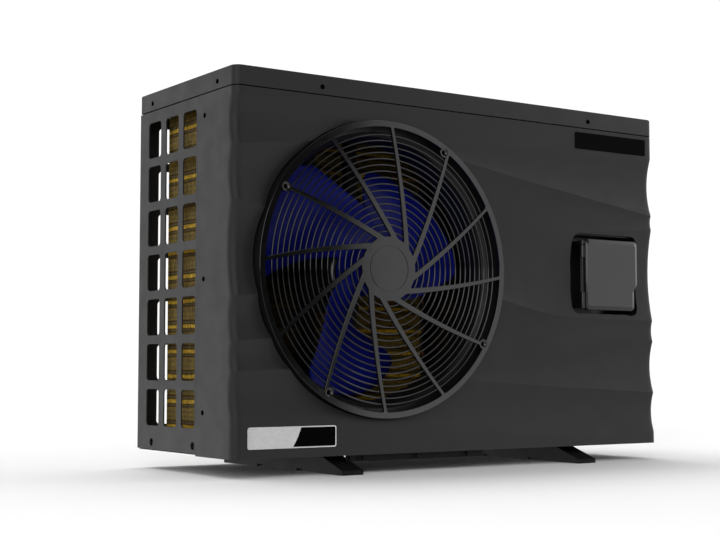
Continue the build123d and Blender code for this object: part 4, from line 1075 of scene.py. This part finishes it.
def control_cover():
    """Flip cover: a raised face with a soft border, a notch, and its hinge knuckles."""
    low, high = corners("control_cover")
    x = (low.x + HINGE_SIDE, high.x)
    rings = []
    for inset, depth in COVER_RINGS:
        rings.append([(u, low.y + depth, v) for u, v in cover_outline(x, (low.z, high.z), inset)])
    rings.insert(0, [(u, high.y - 2.5, v) for u, v in cover_outline(x, (low.z, high.z), 0.0)])
    parts = [loop_strip(rings)]
    hinge_x, hinge_y = low.x + KNUCKLE_R, high.y - KNUCKLE_R
    for z in KNUCKLE_SPANS:
        knuckle = [(PIN_R, z[0]), (KNUCKLE_R - KNUCKLE_EDGE, z[0]), (KNUCKLE_R, z[0] + KNUCKLE_EDGE),
                   (KNUCKLE_R, z[1] - KNUCKLE_EDGE), (KNUCKLE_R - KNUCKLE_EDGE, z[1]), (PIN_R, z[1])]
        parts.append(lathe(knuckle, (hinge_x, hinge_y), axis="Z", steps=32))
        parts.append(bevelled(block((hinge_x + 2.4, x[0] + 3), (hinge_y - 3, hinge_y + 2), z), 0.4))
    make_piece("control_cover_shell", joined(parts), "cover", "cover_plastic", ["control_cover"], sharp=11)


control_cover()


# ---------------------------------------------------------------- badges
FIELD_EDGE, FIELD_SPLIT, FIELD_SLANT, FIELD_CORNER = 2.2, 0.55, 8.0, 1.5


def name_plates():
    """Two blank plates: a black one, and a silver one with a slanted black field."""
    low, high = corners("name_badge")
    shape = sheet_with_holes([rounded_rect((low.x, high.x), (low.z, high.z), 3)], 1.5, 0.5)
    plate = placed(shape, FACE_FRONT, (0, low.y, 0))
    make_piece("name_plate", plate, "casing", "badge_black", ["name_badge"])
    low, high = corners("series_badge")
    shape = sheet_with_holes([rounded_rect((low.x, high.x), (low.z, high.z), 4)], 1.2, 0.4)
    back = placed(shape, FACE_FRONT, (0, low.y + 0.3, 0))
    make_piece("series_plate", back, "casing", "badge_silver", ["series_badge"])
    split, right = low.x + (high.x - low.x) * FIELD_SPLIT, high.x - FIELD_EDGE
    z0, z1 = low.z + FIELD_EDGE, high.z - FIELD_EDGE
    outline = [(split - FIELD_SLANT, z0), (right - FIELD_CORNER, z0), (right, z0 + FIELD_CORNER),
               (right, z1 - FIELD_CORNER), (right - FIELD_CORNER, z1), (split + FIELD_SLANT, z1),
               (split + FIELD_SLANT * 0.2, (z0 + z1) / 2)]
    field = placed(sheet_with_holes([outline], 0.5, 0.1), FACE_FRONT, (0, low.y, 0))
    make_piece("series_field", field, "casing", "badge_black")


name_plates()


# ---------------------------------------------------------------- screws
RECESS = 0.4  # depth of the cross in a screw head
HEAD_PROUD = 0.5  # the flat heads stand this far above the sheet
CROSS_ARM, CROSS_HALF = 0.52, 0.13  # shares of the head's radius
CASING_HEAD_R = 4.4
SIDE_ROWS = (ZB + 75.0, ZB + 304.0, ZB + 588.0)
LID_ROW = ZT - 21.0
LID_SCREWS_X, LID_SCREWS_Y = (-317, 311), (130.0, -120.0)
REAR_SCREWS_X, REAR_ROWS = (X0 + 26, -170, 140, 170, 330, X1 - 20), (ZB + 22, ZP - 10)


def screw_heads(places, facing, radius, depth=0.9):
    """Flat heads with a cross recess, one for each (across, up, offset) on a face."""
    meshes = []
    for u, v, offset in places:
        arm, half = radius * CROSS_ARM, radius * CROSS_HALF
        cross = [(-half, -arm), (half, -arm), (half, -half), (arm, -half), (arm, half), (half, half),
                 (half, arm), (-half, arm), (-half, half), (-arm, half), (-arm, -half), (-half, -half)]
        outlines = [circle_points(u, v, radius, 28), [(u + a, v + b) for a, b in cross]]
        head = sheet_with_holes(outlines, depth, 0.2)
        bottom = sheet_with_holes(outlines[:1], depth - RECESS, 0.1)
        bottom.transform(Matrix.Translation((0, 0, -RECESS * MM)))
        meshes.append(placed(joined([head, bottom]), facing, offset))
    return meshes


def casing_screws():
    """Screws of the casing's sheets and the lid, and the four of the grille."""
    meshes, r = [], CASING_HEAD_R
    side = [(-75.0, z) for z in SIDE_ROWS] + [(y, LID_ROW) for y in LID_SCREWS_Y]
    meshes += screw_heads([(-y, z, (X0 - HEAD_PROUD, 0, 0)) for y, z in side], FACE_LEFT, r)
    meshes += screw_heads([(y, z, (X1 + HEAD_PROUD, 0, 0)) for y, z in side], FACE_RIGHT, r)
    meshes += screw_heads([(x, LID_ROW, (0, Y0 - HEAD_PROUD, 0)) for x in LID_SCREWS_X], FACE_FRONT, r)
    rear = [(x, LID_ROW) for x in LID_SCREWS_X] + [(x, z) for x in REAR_SCREWS_X for z in REAR_ROWS]
    meshes += screw_heads([(-x, z, (0, Y1 + HEAD_PROUD, 0)) for x, z in rear], FACE_REAR, r)
    make_piece("casing_screw_heads", joined(meshes), "casing", "black_screw", ["casing_screws"])
    places = [(x, z, (0, Y_RING + SINK_DEPTH - 0.4, 0)) for x, z in boss_places()]
    meshes = screw_heads(places, FACE_FRONT, HEAD_R - 0.1, 2.0)
    make_piece("grille_screw_heads", joined(meshes), "casing", "black_screw", ["grille_screws"])


casing_screws()


# ---------------------------------------------------------------- stage and light
FLOOR_HALF = 40.0  # metres
SEEN_WHITE = 1.05  # what the camera sees behind the unit


def floor():
    """Pale floor that takes the shadow but throws no light back."""
    r = FLOOR_HALF
    mesh = bpy.data.meshes.new("floor")
    mesh.from_pydata([(-r, -r, 0), (r, -r, 0), (r, r, 0), (-r, r, 0)], [], [(0, 1, 2, 3)])
    mesh.materials.append(pale_floor())
    plane = linked("floor", mesh)
    plane.visible_diffuse = plane.visible_glossy = False


def studio_world():
    """White studio: each soft light is a lobe of directions, brightest behind and above."""
    world = bpy.data.worlds.new("studio")
    bpy.context.scene.world = world
    world.use_nodes = True
    tree = world.node_tree
    tree.nodes.clear()

    def fade(axis, start, end):
        """Rises smoothly from 0 to 1 as the direction's component goes from start to end."""
        made = tree.nodes.new("ShaderNodeMapRange")
        made.interpolation_type = "SMOOTHSTEP"
        made.inputs[1].default_value, made.inputs[2].default_value = sorted((start, end))
        made.inputs[3].default_value, made.inputs[4].default_value = (0, 1) if start < end else (1, 0)
        tree.links.new(split.outputs[axis], made.inputs[0])
        return made.outputs[0]

    coords = tree.nodes.new("ShaderNodeTexCoord")
    split = tree.nodes.new("ShaderNodeSeparateXYZ")
    tree.links.new(coords.outputs["Generated"], split.inputs[0])
    total = None
    for strength, *fades in LOBES:
        lobe = None
        for axis, start, end in fades:
            step = fade("xyz".index(axis), start, end)
            lobe = step if lobe is None else math_node(tree, "MULTIPLY", lobe, step)
        lobe = math_node(tree, "MULTIPLY", lobe, strength)
        total = lobe if total is None else math_node(tree, "ADD", total, lobe)
    path = tree.nodes.new("ShaderNodeLightPath")
    seen = tree.nodes.new("ShaderNodeMix")
    tree.links.new(path.outputs["Is Camera Ray"], seen.inputs[0])
    tree.links.new(total, seen.inputs[2])
    seen.inputs[3].default_value = SEEN_WHITE
    back = tree.nodes.new("ShaderNodeBackground")
    back.inputs["Color"].default_value = (1, 1, 1, 1)
    tree.links.new(seen.outputs[0], back.inputs["Strength"])
    out = tree.nodes.new("ShaderNodeOutputWorld")
    tree.links.new(back.outputs[0], out.inputs[0])


UP = ("z", -0.02, 0.05)
LOW_REAR = ("z", 0.35, 0.6), ("z", 0.85, 0.7)
# Strength, then the fades of direction that bound each soft light.
LOBES = [
    (0.806, ("z", 0.0, -0.1), ("y", 0.1, -0.2)),
    (2.325, ("z", 0.0, -0.1), ("x", 0.0, -0.3), ("y", -0.2, 0.1)),
    (2.346, ("x", -0.05, -0.4), ("y", -0.2, -0.5), UP, ("z", 0.8, 0.5)),
    (1.36, ("x", 0.550, 0.563), ("y", 0.1, -0.2), ("z", -0.15, -0.06), ("z", 0.8, 0.5)),
    (1.940, ("y", 0.1, 0.4), ("x", -0.3, 0.0), ("x", 0.45, 0.2), *LOW_REAR),
    (0.799, ("y", 0.1, 0.4), ("x", 0.2, 0.45), *LOW_REAR),
    (0.935, ("x", 0.5, 0.8), ("y", 0.5, 0.1), UP, ("y", -0.5, -0.1)),
    (2.125, ("y", 0.1, 0.4), ("x", -0.1, -0.4), UP, ("z", 0.5, 0.3)),
    (0.276, ("z", 0.5, 0.8), ("y", -0.1, -0.5)),
    (0.601, ("z", 0.7, 0.85), ("y", 0.35, 0.05), ("y", -0.3, -0.1)),
    (3.810, ("z", 0.7, 0.85), ("y", 0.05, 0.35)),
]


floor()
studio_world()
bpy.context.scene.view_settings.view_transform = "Standard"
